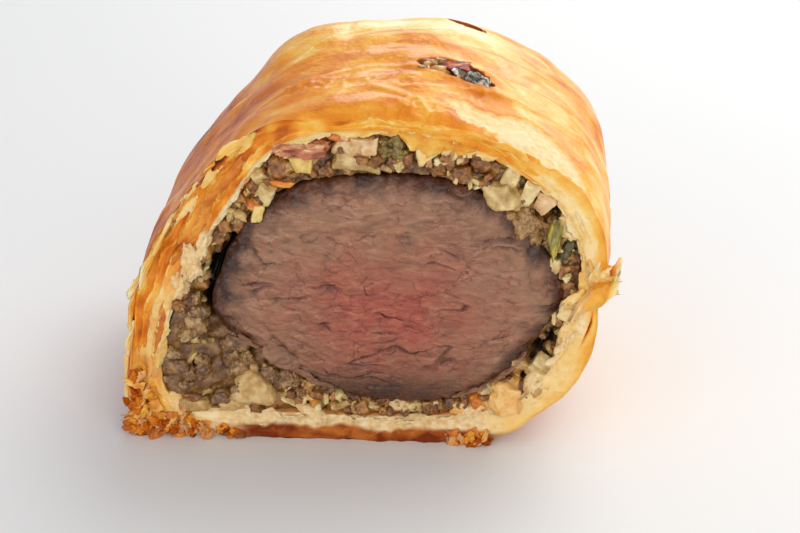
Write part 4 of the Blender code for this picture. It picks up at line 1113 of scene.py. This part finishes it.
def make_singles(finishes):
    draw = random.Random(7)
    for name, slot, (x, depth, z), half, turn, boxy, ragged in SINGLES:
        bm = bmesh.new()
        place = Vector((x * MM, CUT_Y + depth * MM, z * MM))
        lump(bm, place, [h * MM for h in half], turn, boxy, ragged, draw, cuts=21, tilt=0.08, bend=0.2,
             grit=0.36 * MM if name == "bacon_piece" else 0.18 * MM)
        if name == "green_piece":
            for vertex in bm.verts:
                down = smooth(-0.4, 1.0, (place.z - vertex.co.z) / (half[2] * MM))
                vertex.co.x = mix(vertex.co.x, place.x + 0.5 * MM, 0.8 * down)
        add_piece(name + "_cooked", bm, finishes[name], slot, name)
    middle = VENTS[0]
    top_angle = round(angle_at(middle[0], 82 * MM), 1)
    floor = section_point(outer_radius(top_angle, middle[1]), top_angle, 0).z
    for name, slot, (x, depth, lift), half, turns in VENT_PIECES:
        bm = bmesh.new()
        lump(bm, Vector(), [h * MM for h in half], 0, 6, 0.55, draw, cuts=17, tilt=0.1, bend=0.3, grit=0.25 * MM)
        place = Vector((middle[0] + x * MM, CUT_Y + middle[1] + depth * MM, floor + lift * MM))
        turned = Matrix.Rotation(math.radians(turns[0]), 4, "X") @ Matrix.Rotation(math.radians(turns[1]), 4, "Y")
        turned = turned @ Matrix.Rotation(math.radians(turns[2]), 4, "Z")
        bmesh.ops.transform(bm, matrix=Matrix.Translation(place) @ turned, verts=bm.verts)
        add_piece(name + "_cooked", bm, finishes[name], slot, name)


# Beef

# The third mark holds both the seared rim and painted shade over the lower middle of the beef.
BEEF_MARKS = ("rare", "crack", "sear_and_shade")


def grain(x, z):
    """The beef's coarse wavy grain: its height and how deep in a crack the place is."""
    low = 1 - smooth(22 * MM, 46 * MM, z)
    bowl = (x - 6 * MM) ** 2 * (7.5 * low - 2.5 * (1 - low))
    warp = 3.0 * MM * rough(x, 0, z, 15 * MM) + 1.3 * MM * rough(x, 5, z, 5.5 * MM) + 0.5 * MM * rough(x, 7, z, 2 * MM)
    y = z - bowl + warp
    bands = rough(x * 0.34, 0, y, 2.4 * MM)
    fine = rough(x * 0.5, 3, y, 1.0 * MM)
    grit = rough(x, 4, z, 0.7 * MM)
    crack = hump(rough(x * 0.22, 11, y, 3.6 * MM), 0.045) * smooth(0.05, 0.45, rough(x * 0.7, 8, z, 6 * MM))
    slits = hump(rough(x * 0.5, 15, y, 1.7 * MM), 0.06) * smooth(0.0, 0.4, rough(x, 2, z, 4 * MM))
    lumps = rough(x, 21, z, 7 * MM) + 0.5 * rough(x, 25, z, 3.2 * MM)
    height = 0.16 * bands + 0.10 * fine + 0.09 * grit + 0.42 * lumps - 0.8 * crack - 0.35 * slits
    return height * MM, min(1.0, crack + 0.5 * slits)


def beef_edge_radius(angle):
    arc = angle * ARC
    return beef_radius(angle) + 0.55 * MM * rough(arc, 0, 0, 4 * MM) + 0.35 * MM * rough(arc, 0, 3, 1.3 * MM)


def beef_face_row(share):
    def row(angle):
        radius = beef_edge_radius(angle) * share
        point = section_point(radius, angle, 0)
        height, crack = grain(point.x, point.z)
        swell = BEEF_BULGE * (1 - share**4)
        fade = 1 - 0.5 * smooth(0.95, 1.0, share)
        rind = smooth(0.80, 0.95, share)
        lower_left = hump(point.x + 20 * MM, 11 * MM) * hump(point.z - 25 * MM, 7 * MM)
        shelf = rough(point.x * 0.5 - point.z * 0.5, 0, point.x + point.z * 1.4, 2.6 * MM)
        torn = 1.5 * MM * lower_left * shelf
        rind_relief = 0.7 * MM * rind * rough(angle * ARC, 3, radius, 2.0 * MM)
        rind_relief += 0.35 * MM * rind * rough(angle * ARC, 5, radius, 0.8 * MM)
        depth = BEEF_EDGE * share**12 - swell - height * fade + torn + rind_relief
        rare = hump(point.x - 7 * MM, 23 * MM) * hump(point.z - 36 * MM, 18 * MM)
        rare += 0.5 * rough(point.x, 0, point.z, 8 * MM) * rare + 0.15 * rough(point.x, 0, point.z, 2.5 * MM)
        left_edge = 0.05 * hump(turn_between(angle, 190), 45)
        sear_and_shade = smooth(0.84, 1.0, share + left_edge + 0.08 * rough(point.x, 0, point.z, 4 * MM))
        # A dark patch over the lower middle of the beef is painted shade, kept in the same mark as the seared rim.
        sear_and_shade = max(sear_and_shade, hump(point.x - 7 * MM, 24 * MM) * hump(point.z - 12.5 * MM, 8.5 * MM))
        return section_point(radius, angle, depth), (rare, crack, sear_and_shade)
    return row


# Torn flaps along the lower edge of the beef: angle, share of its radius, length, width, lift, seed
BEEF_FLAPS = [
    (214, 0.87, 9 * MM, 4.2 * MM, 3.4 * MM, 0.3), (221, 0.95, 13 * MM, 2.2 * MM, 1.5 * MM, 0.7),
    (204, 0.96, 7 * MM, 2.4 * MM, 1.2 * MM, 1.9), (236, 0.96, 10 * MM, 1.8 * MM, 1.0 * MM, 2.3),
    (328, 1.00, 14 * MM, 1.2 * MM, 0.6 * MM, 4.1), (312, 0.99, 11 * MM, 1.3 * MM, 0.6 * MM, 4.7),
]


def beef_flap(bm, angle, share, length, width, lift, seed):
    """A torn strip of meat that lies along the beef's edge and lifts at its outer side."""
    reach = beef_radius(round(angle)) * share

    def place(u, v, back):
        side = 2 * v - 1
        ends = (1 - abs(2 * u - 1) ** 3) ** 0.5 if 0 < u < 1 else 0.0
        here = angle + math.degrees(length * (u - 0.5) / reach)
        edge = 0.5 * width * side * ends * (1 + 0.6 * rough(u * length, side * MM, seed, 2.6 * MM))
        drift = 0.8 * MM * rough(u * length, 0, seed, 6 * MM)
        radius = beef_radius(round(here, 1)) * share + edge + drift
        rise = lift * (0.5 + 0.5 * side) * ends + 0.5 * MM * rough(u * length, v * 2 * MM, seed, 1.2 * MM)
        shared = min(1.0, radius / beef_radius(round(here, 1)))
        depth = BEEF_EDGE * shared**12 - BEEF_BULGE * (1 - shared**4) - rise - 0.1 * MM
        thickness = 0.6 * MM + 0.8 * MM * (1 - ends) if back else 0.0
        return section_point(radius, here, depth + thickness), (0.1, 0.5 * (1 - v)**4, 0.2 - 0.2 * v)

    add_sheet(bm, 40, 9, place, BEEF_MARKS)


def make_beef(finish):
    rows = [beef_face_row(share) for share in np.linspace(0, 1, 130)]
    rows += [lambda angle: (section_point(beef_edge_radius(angle), angle, 2 * BEEF_EDGE), (0.0, 0.0, 1.0))]
    rows += [lambda angle, d=depth: (section_point(beef_radius(angle), angle, d * MM), (0.0, 0.0, 1.0))
             for depth in (9, 13, 38)]
    rows += [lambda angle, t=turn: (beef_end(angle, t), (0.0, 0.0, 1.0)) for turn in (30, 60, 90)]
    bm = shape_rows(rows, BEEF_SEGMENTS, BEEF_MARKS)
    for torn in BEEF_FLAPS:
        beef_flap(bm, *torn)
    add_piece("beef_fillet", bm, finish, "beef", "beef")


# Finishes

def hex_colour(text):
    """A linear colour from an sRGB hex value."""
    parts = [int(text[i:i + 2], 16) / 255 for i in (1, 3, 5)]
    return tuple(p / 12.92 if p <= 0.04045 else ((p + 0.055) / 1.055) ** 2.4 for p in parts) + (1.0,)


def node(tree, kind, settings=None, links=None, stops=None, **choices):
    """Adds a shader node with its choices, its sockets' values, what feeds them, and a ramp's colours."""
    made = tree.nodes.new(kind)
    for name, value in choices.items():
        setattr(made, name, value)
    for socket, value in (settings or {}).items():
        made.inputs[socket].default_value = value
    for socket, value in (links or {}).items():
        tree.links.new(value, made.inputs[socket])
    if stops:
        ramp = made.color_ramp.elements
        while len(ramp) < len(stops):
            ramp.new(0.5)
        for element, (position, colour) in zip(ramp, stops):
            element.position = position
            element.color = hex_colour(colour) if isinstance(colour, str) else (colour, colour, colour, 1)
    return made


def start_finish(name, **surface):
    """A new material: its tree, its surface shader with these settings, and Object coordinates."""
    made = bpy.data.materials.new(name)
    made.use_nodes = True
    tree = made.node_tree
    shader = tree.nodes["Principled BSDF"]
    for socket, value in surface.items():
        shader.inputs[socket.replace("_", " ").title().replace("Ior", "IOR")].default_value = value
    place = node(tree, "ShaderNodeTexCoord").outputs["Object"]
    return made, tree, shader, place


def pastry_finish():
    """Egg-glazed puff pastry, baked: golden brown and glossy on the skin, matt cream where it is torn."""
    made, tree, shader, place = start_finish("egg-glazed baked puff pastry", coat_roughness=0.08,
                                             specular_ior_level=0.12, subsurface_weight=0.12, subsurface_scale=0.0015)
    shader.inputs["Subsurface Radius"].default_value = (1.0, 0.55, 0.2)
    bake = node(tree, "ShaderNodeAttribute", attribute_name="bake").outputs["Fac"]
    dough = node(tree, "ShaderNodeAttribute", attribute_name="dough").outputs["Fac"]
    juice = node(tree, "ShaderNodeAttribute", attribute_name="juice").outputs["Fac"]
    fold = node(tree, "ShaderNodeAttribute", attribute_name="fold").outputs["Fac"]
    # Blotches 11 mm wide with crisp edges, and freckles 1.4 mm wide
    cloud = node(tree, "ShaderNodeTexNoise", {"Scale": 90, "Detail": 6, "Roughness": 0.6, "Distortion": 0.7},
                 {"Vector": place}).outputs["Fac"]
    blotch = node(tree, "ShaderNodeMapRange", {"From Min": 0.32, "From Max": 0.68, "To Min": 0.25, "To Max": 0.75},
                  {"Value": cloud}, interpolation_type="SMOOTHSTEP").outputs["Result"]
    freckle = node(tree, "ShaderNodeTexNoise", {"Scale": 700, "Detail": 3}, {"Vector": place}).outputs["Fac"]
    # Streaks 12 mm long and 1.5 mm wide, the way the sheet was stretched round the loaf
    stretched = node(tree, "ShaderNodeMapping", {"Scale": (80, 640, 80)}, {"Vector": place}).outputs["Vector"]
    streak = node(tree, "ShaderNodeTexNoise", {"Scale": 1, "Detail": 3, "Distortion": 0.6},
                  {"Vector": stretched}).outputs["Fac"]
    # Leaves of 9 mm by 5 mm that have flaked off here and there, each baked a little differently
    wander = node(tree, "ShaderNodeTexNoise", {"Scale": 200, "Detail": 5, "Roughness": 0.65},
                  {"Vector": place}).outputs["Color"]
    shift = node(tree, "ShaderNodeVectorMath", {1: (0.011, 0.007, 0.011)}, {0: wander},
                 operation="MULTIPLY").outputs[0]
    moved = node(tree, "ShaderNodeVectorMath", None, {0: place, 1: shift}, operation="ADD").outputs[0]
    sized = node(tree, "ShaderNodeMapping", {"Scale": (110, 190, 110)}, {"Vector": moved}).outputs["Vector"]
    leaf = node(tree, "ShaderNodeTexVoronoi", {"Scale": 1, "Randomness": 1.0}, {"Vector": sized}).outputs["Color"]
    flaked = node(tree, "ShaderNodeMath", {1: 0.15}, {0: leaf, 2: bake}, operation="MULTIPLY_ADD").outputs[0]
    first = node(tree, "ShaderNodeMath", {1: 0.26}, {0: blotch, 2: flaked}, operation="MULTIPLY_ADD").outputs[0]
    second = node(tree, "ShaderNodeMath", {1: 0.10}, {0: freckle, 2: first}, operation="MULTIPLY_ADD").outputs[0]
    third = node(tree, "ShaderNodeMath", {1: 0.07}, {0: streak, 2: second}, operation="MULTIPLY_ADD").outputs[0]
    level = node(tree, "ShaderNodeMath", {1: 0.285}, {0: third}, operation="SUBTRACT").outputs[0]
    away = node(tree, "ShaderNodeMath", None, {0: fold}, operation="ABSOLUTE").outputs[0]
    worn = node(tree, "ShaderNodeMapRange", {"From Min": 0.40, "From Max": 0.60, "To Min": 0.0, "To Max": 0.09},
                {"Value": cloud}).outputs["Result"]
    line = node(tree, "ShaderNodeMapRange", {"From Min": 0.0, "To Min": 0.15, "To Max": 0.0},
                {"Value": away, "From Max": worn}, interpolation_type="SMOOTHERSTEP").outputs["Result"]
    lined = node(tree, "ShaderNodeMath", {}, {0: level, 1: line}, operation="SUBTRACT").outputs[0]
    baked = node(tree, "ShaderNodeValToRGB", None, {"Fac": lined}, stops=[
        (0.02, "#FFEEC0"), (0.18, "#FCD47C"), (0.32, "#F6B644"), (0.45, "#EC9622"), (0.58, "#DA7810"),
        (0.72, "#B8560A"), (0.86, "#833306"), (1.0, "#4A1B04")]).outputs["Color"]
    cream = node(tree, "ShaderNodeValToRGB", None, {"Fac": freckle}, stops=[
        (0.30, "#DCB67A"), (0.50, "#F0D19C"), (0.68, "#F8E4BA")]).outputs["Color"]
    torn = node(tree, "ShaderNodeMix", None, {0: dough, 6: baked, 7: cream}, data_type="RGBA").outputs[2]
    stain = node(tree, "ShaderNodeValToRGB", None, {"Fac": blotch}, stops=[
        (0.34, "#7D2F0E"), (0.52, "#A8541F"), (0.68, "#C0702E")]).outputs["Color"]
    final = node(tree, "ShaderNodeMix", None, {0: juice, 6: torn, 7: stain}, data_type="RGBA").outputs[2]
    tree.links.new(final, shader.inputs["Base Color"])
    gloss = node(tree, "ShaderNodeMapRange", {"To Min": 0.30, "To Max": 0.75}, {"Value": dough}).outputs["Result"]
    shine = node(tree, "ShaderNodeMath", {1: 0.25}, {0: freckle, 2: gloss}, operation="MULTIPLY_ADD").outputs[0]
    tree.links.new(shine, shader.inputs["Roughness"])
    glaze = node(tree, "ShaderNodeMapRange", {"From Max": 0.5, "To Min": 0.30, "To Max": 0.0},
                 {"Value": dough}).outputs["Result"]
    thinned = node(tree, "ShaderNodeMapRange", {"From Min": 0.42, "From Max": 0.62, "To Min": 1.0, "To Max": 0.30},
                   {"Value": bake}).outputs["Result"]
    coat = node(tree, "ShaderNodeMath", {}, {0: glaze, 1: thinned}, operation="MULTIPLY").outputs[0]
    tree.links.new(coat, shader.inputs["Coat Weight"])
    # Bubbles of glaze about 1.2 mm wide, and fine wrinkles
    bubbles = node(tree, "ShaderNodeTexVoronoi", {"Scale": 850, "Randomness": 1.0}, {"Vector": place},
                   feature="SMOOTH_F1").outputs["Distance"]
    torn_off = node(tree, "ShaderNodeMath", {1: 0.8}, {0: leaf, 2: blotch}, operation="MULTIPLY_ADD").outputs[0]
    rise = node(tree, "ShaderNodeMath", {1: -0.5}, {0: bubbles, 2: torn_off}, operation="MULTIPLY_ADD").outputs[0]
    fine = node(tree, "ShaderNodeMath", {1: 0.8}, {0: freckle, 2: rise}, operation="MULTIPLY_ADD").outputs[0]
    relief = node(tree, "ShaderNodeBump", {"Strength": 0.5, "Distance": 0.0006}, {"Height": fine}).outputs["Normal"]
    tree.links.new(relief, shader.inputs["Normal"])
    return made


def beef_finish():
    """Roast beef cut across the grain: brown-grey, pink-red in the middle, dark at the edge, moist."""
    made, tree, shader, place = start_finish("roast beef cut across the grain", coat_weight=0.25,
                                             coat_roughness=0.12, subsurface_weight=0.15, subsurface_scale=0.002)
    shader.inputs["Subsurface Radius"].default_value = (1.0, 0.35, 0.25)
    rare = node(tree, "ShaderNodeAttribute", attribute_name="rare").outputs["Fac"]
    crack = node(tree, "ShaderNodeAttribute", attribute_name="crack").outputs["Fac"]
    sear_and_shade = node(tree, "ShaderNodeAttribute", attribute_name="sear_and_shade").outputs["Fac"]
    # Fibre bundles about 1 mm thick, drawn out along X, and grains of 0.5 mm
    drawn = node(tree, "ShaderNodeMapping", {"Scale": (210, 210, 560)}, {"Vector": place}).outputs["Vector"]
    fibre = node(tree, "ShaderNodeTexNoise", {"Scale": 1, "Detail": 5, "Roughness": 0.6, "Distortion": 1.0},
                 {"Vector": drawn}).outputs["Fac"]
    patch = node(tree, "ShaderNodeTexNoise", {"Scale": 150, "Detail": 5, "Roughness": 0.6},
                 {"Vector": place}).outputs["Fac"]
    speck = node(tree, "ShaderNodeTexNoise", {"Scale": 2000, "Detail": 3}, {"Vector": place}).outputs["Fac"]
    # The seams between bundles: cells about 7 mm by 4 mm with wandering edges
    wander = node(tree, "ShaderNodeTexNoise", {"Scale": 260, "Detail": 4, "Roughness": 0.6},
                  {"Vector": place}).outputs["Color"]
    shift = node(tree, "ShaderNodeVectorMath", {1: (0.008, 0.0, 0.005)}, {0: wander}, operation="MULTIPLY").outputs[0]
    moved = node(tree, "ShaderNodeVectorMath", {}, {0: place, 1: shift}, operation="ADD").outputs[0]
    cells = node(tree, "ShaderNodeMapping", {"Scale": (135, 1, 270)}, {"Vector": moved}).outputs["Vector"]
    edge = node(tree, "ShaderNodeTexVoronoi", {"Scale": 1, "Randomness": 1.0}, {"Vector": cells},
                feature="DISTANCE_TO_EDGE").outputs["Distance"]
    thin = node(tree, "ShaderNodeMapRange", {"From Max": 0.045, "To Min": 1.0, "To Max": 0.0},
                {"Value": edge}).outputs["Result"]
    seen = node(tree, "ShaderNodeMapRange", {"From Min": 0.46, "From Max": 0.62}, {"Value": patch}).outputs["Result"]
    seam = node(tree, "ShaderNodeMath", {}, {0: thin, 1: seen}, operation="MULTIPLY").outputs[0]
    grey = node(tree, "ShaderNodeValToRGB", None, {"Fac": fibre}, stops=[
        (0.28, "#78523A"), (0.44, "#94684B"), (0.58, "#A37658"), (0.74, "#B88E70")]).outputs["Color"]
    pink = node(tree, "ShaderNodeValToRGB", None, {"Fac": fibre}, stops=[
        (0.28, "#843526"), (0.44, "#9F4835"), (0.58, "#AE5A44"), (0.74, "#C27860")]).outputs["Color"]
    reddened = node(tree, "ShaderNodeMath", {1: 0.8}, {0: patch, 2: rare}, operation="MULTIPLY_ADD").outputs[0]
    share = node(tree, "ShaderNodeMapRange", {"From Min": 0.50, "From Max": 1.45}, {"Value": reddened}).outputs[0]
    meat = node(tree, "ShaderNodeMix", None, {0: share, 6: grey, 7: pink}, data_type="RGBA").outputs[2]
    # These dark browns colour the seared rim and the painted shade over the lower beef.
    browned = node(tree, "ShaderNodeValToRGB", None, {"Fac": patch}, stops=[
        (0.35, "#260F05"), (0.52, "#4A200A"), (0.68, "#723E1C")]).outputs["Color"]
    edged = node(tree, "ShaderNodeMix", None, {0: sear_and_shade, 6: meat, 7: browned}, data_type="RGBA").outputs[2]
    darker = node(tree, "ShaderNodeMath", {1: 0.55}, {0: seam, 2: crack}, operation="MULTIPLY_ADD").outputs[0]
    dark = node(tree, "ShaderNodeMath", {1: 0.72}, {0: darker}, operation="MULTIPLY", use_clamp=True).outputs[0]
    final = node(tree, "ShaderNodeMix", {7: hex_colour("#431812")}, {0: dark, 6: edged}, data_type="RGBA").outputs[2]
    tree.links.new(final, shader.inputs["Base Color"])
    wet = node(tree, "ShaderNodeMapRange", {"From Min": 0.38, "From Max": 0.62, "To Min": 0.26, "To Max": 0.62},
               {"Value": speck}).outputs["Result"]
    tree.links.new(wet, shader.inputs["Roughness"])
    grains = node(tree, "ShaderNodeMath", {1: 0.45}, {0: speck, 2: fibre}, operation="MULTIPLY_ADD").outputs[0]
    height = node(tree, "ShaderNodeMath", {1: -0.5}, {0: seam, 2: grains}, operation="MULTIPLY_ADD").outputs[0]
    relief = node(tree, "ShaderNodeBump", {"Strength": 0.5, "Distance": 0.0009}, {"Height": height}).outputs["Normal"]
    tree.links.new(relief, shader.inputs["Normal"])
    return made


def piece_finish(name, low, middle, high, scale, wetness, deep=False, see_through=0.15):
    """A chopped piece's finish: three colours of its own, spread by noise of the given size in millimetres."""
    made, tree, shader, place = start_finish(name, coat_weight=wetness, coat_roughness=0.15,
                                             subsurface_weight=see_through, subsurface_scale=0.002)
    shader.inputs["Subsurface Radius"].default_value = (1.0, 0.6, 0.3)
    noise_scale = 1 / (scale * MM)
    spread = node(tree, "ShaderNodeTexNoise", {"Scale": noise_scale, "Detail": 4, "Roughness": 0.6},
                  {"Vector": place}).outputs["Fac"]
    tone = node(tree, "ShaderNodeAttribute", attribute_name="tone").outputs["Fac"]
    toned = node(tree, "ShaderNodeMath", {1: 0.10}, {0: tone, 2: spread}, operation="MULTIPLY_ADD").outputs[0]
    colour = node(tree, "ShaderNodeValToRGB", None, {"Fac": toned}, stops=[
        (0.32, low), (0.5, middle), (0.68, high)]).outputs["Color"]
    # With deep, the colour darkens towards near black in the filling's hollows: painted shade.
    if deep:
        hollow = node(tree, "ShaderNodeAttribute", attribute_name="deep").outputs["Fac"]
        colour = node(tree, "ShaderNodeMix", {7: hex_colour("#1B0E07")}, {0: hollow, 6: colour},
                      data_type="RGBA").outputs[2]
    tree.links.new(colour, shader.inputs["Base Color"])
    grit = node(tree, "ShaderNodeTexNoise", {"Scale": 1400, "Detail": 2}, {"Vector": place}).outputs["Fac"]
    gloss = node(tree, "ShaderNodeMapRange", {"To Min": 0.25, "To Max": 0.6}, {"Value": grit}).outputs["Result"]
    tree.links.new(gloss, shader.inputs["Roughness"])
    height = node(tree, "ShaderNodeMath", {}, {0: grit, 1: spread}, operation="ADD").outputs[0]
    relief = node(tree, "ShaderNodeBump", {"Strength": 0.5, "Distance": 0.0005}, {"Height": height}).outputs["Normal"]
    tree.links.new(relief, shader.inputs["Normal"])
    return made


FILLING_FINISHES = {  # name, dark, middle and light colour, size of the mottling in millimetres, wetness
    "mushroom": ("sauteed brown mushroom", "#5A3210", "#945C24", "#C08A42", 1.6, 0.5),
    "onion": ("sweated onion", "#B08A48", "#D9BB78", "#F4E0A8", 3.2, 0.7),
    "pepper": ("orange pepper", "#B65612", "#E2821E", "#F2A43A", 2.0, 0.6),
    "ham": ("onion stained pink by the beef", "#B4804C", "#DAAC74", "#F0D09C", 2.4, 0.6),
    "herb": ("chopped thyme and onion", "#524018", "#8E7834", "#BFA462", 1.0, 0.4),
    "crumbly": ("grated mushroom stalk", "#6A4822", "#A67C48", "#CFAA70", 0.8, 0.3),
    "olive": ("green olive skin", "#241F0A", "#443C14", "#6E5F26", 1.5, 0.8),
    "yellow": ("yellow pepper", "#C4963A", "#E6C268", "#F5DC90", 3.0, 0.5),
    "mush": ("mushroom paste", "#5A3818", "#8C6434", "#C09A60", 1.6, 0.7),
    "suet": ("steamed inner dough", "#9E7238", "#C8A05C", "#E4C488", 3.0, 0.4),
    "golden": ("potato fried golden", "#CC8A34", "#EBB05A", "#F8CC80", 3.0, 0.4),
}


def streaked_finish(name, colours, scale, wetness, roughness):
    """A finish with colours in streaks. The scale gives streaks for each metre along X, Y and Z."""
    made, tree, shader, place = start_finish(name, coat_weight=wetness, coat_roughness=0.08, roughness=roughness,
                                             subsurface_weight=0.12, subsurface_scale=0.0015)
    drawn = node(tree, "ShaderNodeMapping", {"Scale": scale}, {"Vector": place}).outputs["Vector"]
    streaks = node(tree, "ShaderNodeTexNoise", {"Scale": 1, "Detail": 4, "Distortion": 0.8},
                   {"Vector": drawn}).outputs["Fac"]
    colour = node(tree, "ShaderNodeValToRGB", None, {"Fac": streaks}, stops=colours).outputs["Color"]
    tree.links.new(colour, shader.inputs["Base Color"])
    relief = node(tree, "ShaderNodeBump", {"Strength": 0.6, "Distance": 0.0006}, {"Height": streaks}).outputs["Normal"]
    tree.links.new(relief, shader.inputs["Normal"])
    return made


SINGLE_FINISHES = {  # name, colours, streaks for each metre, wetness, roughness
    "bacon_piece": ("fried streaky bacon", [(0.30, "#8A4426"), (0.44, "#B86A44"), (0.55, "#D6976C"), (0.66, "#EECBA0")],
                    (260, 260, 620), 0.3, 0.45),
    "green_piece": ("sweated green pepper", [(0.30, "#4A430C"), (0.46, "#8A7E1C"), (0.58, "#B8A52C"), (0.70, "#DCC95A")],
                    (420, 300, 130), 0.9, 0.25),
    "red_piece": ("roasted red pepper", [(0.38, "#2E0A03"), (0.47, "#8A1C04"), (0.56, "#CE4608"), (0.68, "#F2A458")],
                  (320, 320, 320), 0.08, 0.55),
    # Its pale stops paint silvery glints on the wet skin: painted highlights.
    "dark_piece": ("charred vegetable skin", [(0.32, "#241F14"), (0.42, "#645C46"), (0.51, "#ABA38C"), (0.60, "#EEEADD")],
                   (700, 420, 420), 0.5, 0.35),
}


def stage_and_light():
    """A plain pale floor, a bright soft room and the camera at the photo's viewing angle."""
    bm = bmesh.new()
    bmesh.ops.create_grid(bm, x_segments=1, y_segments=1, size=3)
    mesh = bpy.data.meshes.new("floor")
    bm.to_mesh(mesh)
    bm.free()
    floor = bpy.data.objects.new("floor", mesh)
    bpy.context.scene.collection.objects.link(floor)
    finish = bpy.data.materials.new("white board")
    finish.use_nodes = True
    finish.node_tree.nodes["Principled BSDF"].inputs["Base Color"].default_value = hex_colour("#E5E5E3")
    finish.node_tree.nodes["Principled BSDF"].inputs["Roughness"].default_value = 0.6
    mesh.materials.append(finish)

    world = bpy.data.worlds.new("bright room")
    world.use_nodes = True
    sky = world.node_tree.nodes["Background"]
    sky.inputs["Color"].default_value = hex_colour("#EDF3FF")
    sky.inputs["Strength"].default_value = 0.56
    bpy.context.scene.world = world

    for name, place, size, power, colour in LIGHTS:
        lamp = bpy.data.lights.new(name, "AREA")
        lamp.shape = "RECTANGLE"
        lamp.size, lamp.size_y = size
        lamp.energy = power
        lamp.color = hex_colour(colour)[:3]
        light = bpy.data.objects.new(name, lamp)
        bpy.context.scene.collection.objects.link(light)
        light.location = place
        light.rotation_mode = "QUATERNION"
        light.rotation_quaternion = (Vector(place) - AIM).to_track_quat("Z", "Y")

    lens = bpy.data.cameras.new("camera")
    lens.sensor_width = 36
    lens.lens = FOCAL_PIXELS * 36 / 800
    lens.clip_start = 0.01
    camera = bpy.data.objects.new("camera", lens)
    bpy.context.scene.collection.objects.link(camera)
    a, e = math.radians(CAMERA_TURN[0]), math.radians(CAMERA_TURN[1])
    back = Vector((math.sin(a) * math.cos(e), -math.cos(a) * math.cos(e), math.sin(e)))
    camera.location = AIM + back * CAMERA_RANGE
    camera.rotation_mode = "QUATERNION"
    camera.rotation_quaternion = back.to_track_quat("Z", "Y")
    bpy.context.scene.camera = camera
    bpy.context.scene.view_settings.view_transform = "Standard"


AIM = Vector((9.3 * MM, CUT_Y, 47 * MM))
CAMERA_TURN = (3.5, 27)  # azimuth and elevation, in degrees
CAMERA_RANGE = 393 * MM
FOCAL_PIXELS = 1750
LIGHTS = [  # name, place, width and height, power in watts, colour
    ("window", (0.62, 0.62, 0.90), (1.3, 1.0), 10.6, "#FFFDF8"),
    ("back", (0.45, 1.45, 0.55), (1.6, 0.5), 6.5, "#FFFAF6"),
    ("front", (0.45, -0.9, 0.60), (0.8, 0.6), 3.4, "#FFF4E6"),
    ("left", (-0.70, -0.85, 0.35), (0.8, 0.5), 3.0, "#FFF2E2"),
]


def build():
    stage_and_light()
    pastry = pastry_finish()
    make_crust(pastry)
    make_leaves(pastry)
    make_crumbs(pastry)
    finishes = {kind: piece_finish(*facts) for kind, facts in FILLING_FINISHES.items()}
    core = piece_finish("mushroom filling", "#4E2F12", "#80582A", "#A87E48", 2.0, 0.4, deep=True)
    make_filling(core, finishes)
    make_beef(beef_finish())
    make_singles({node_name: streaked_finish(*facts) for node_name, facts in SINGLE_FINISHES.items()})


build()
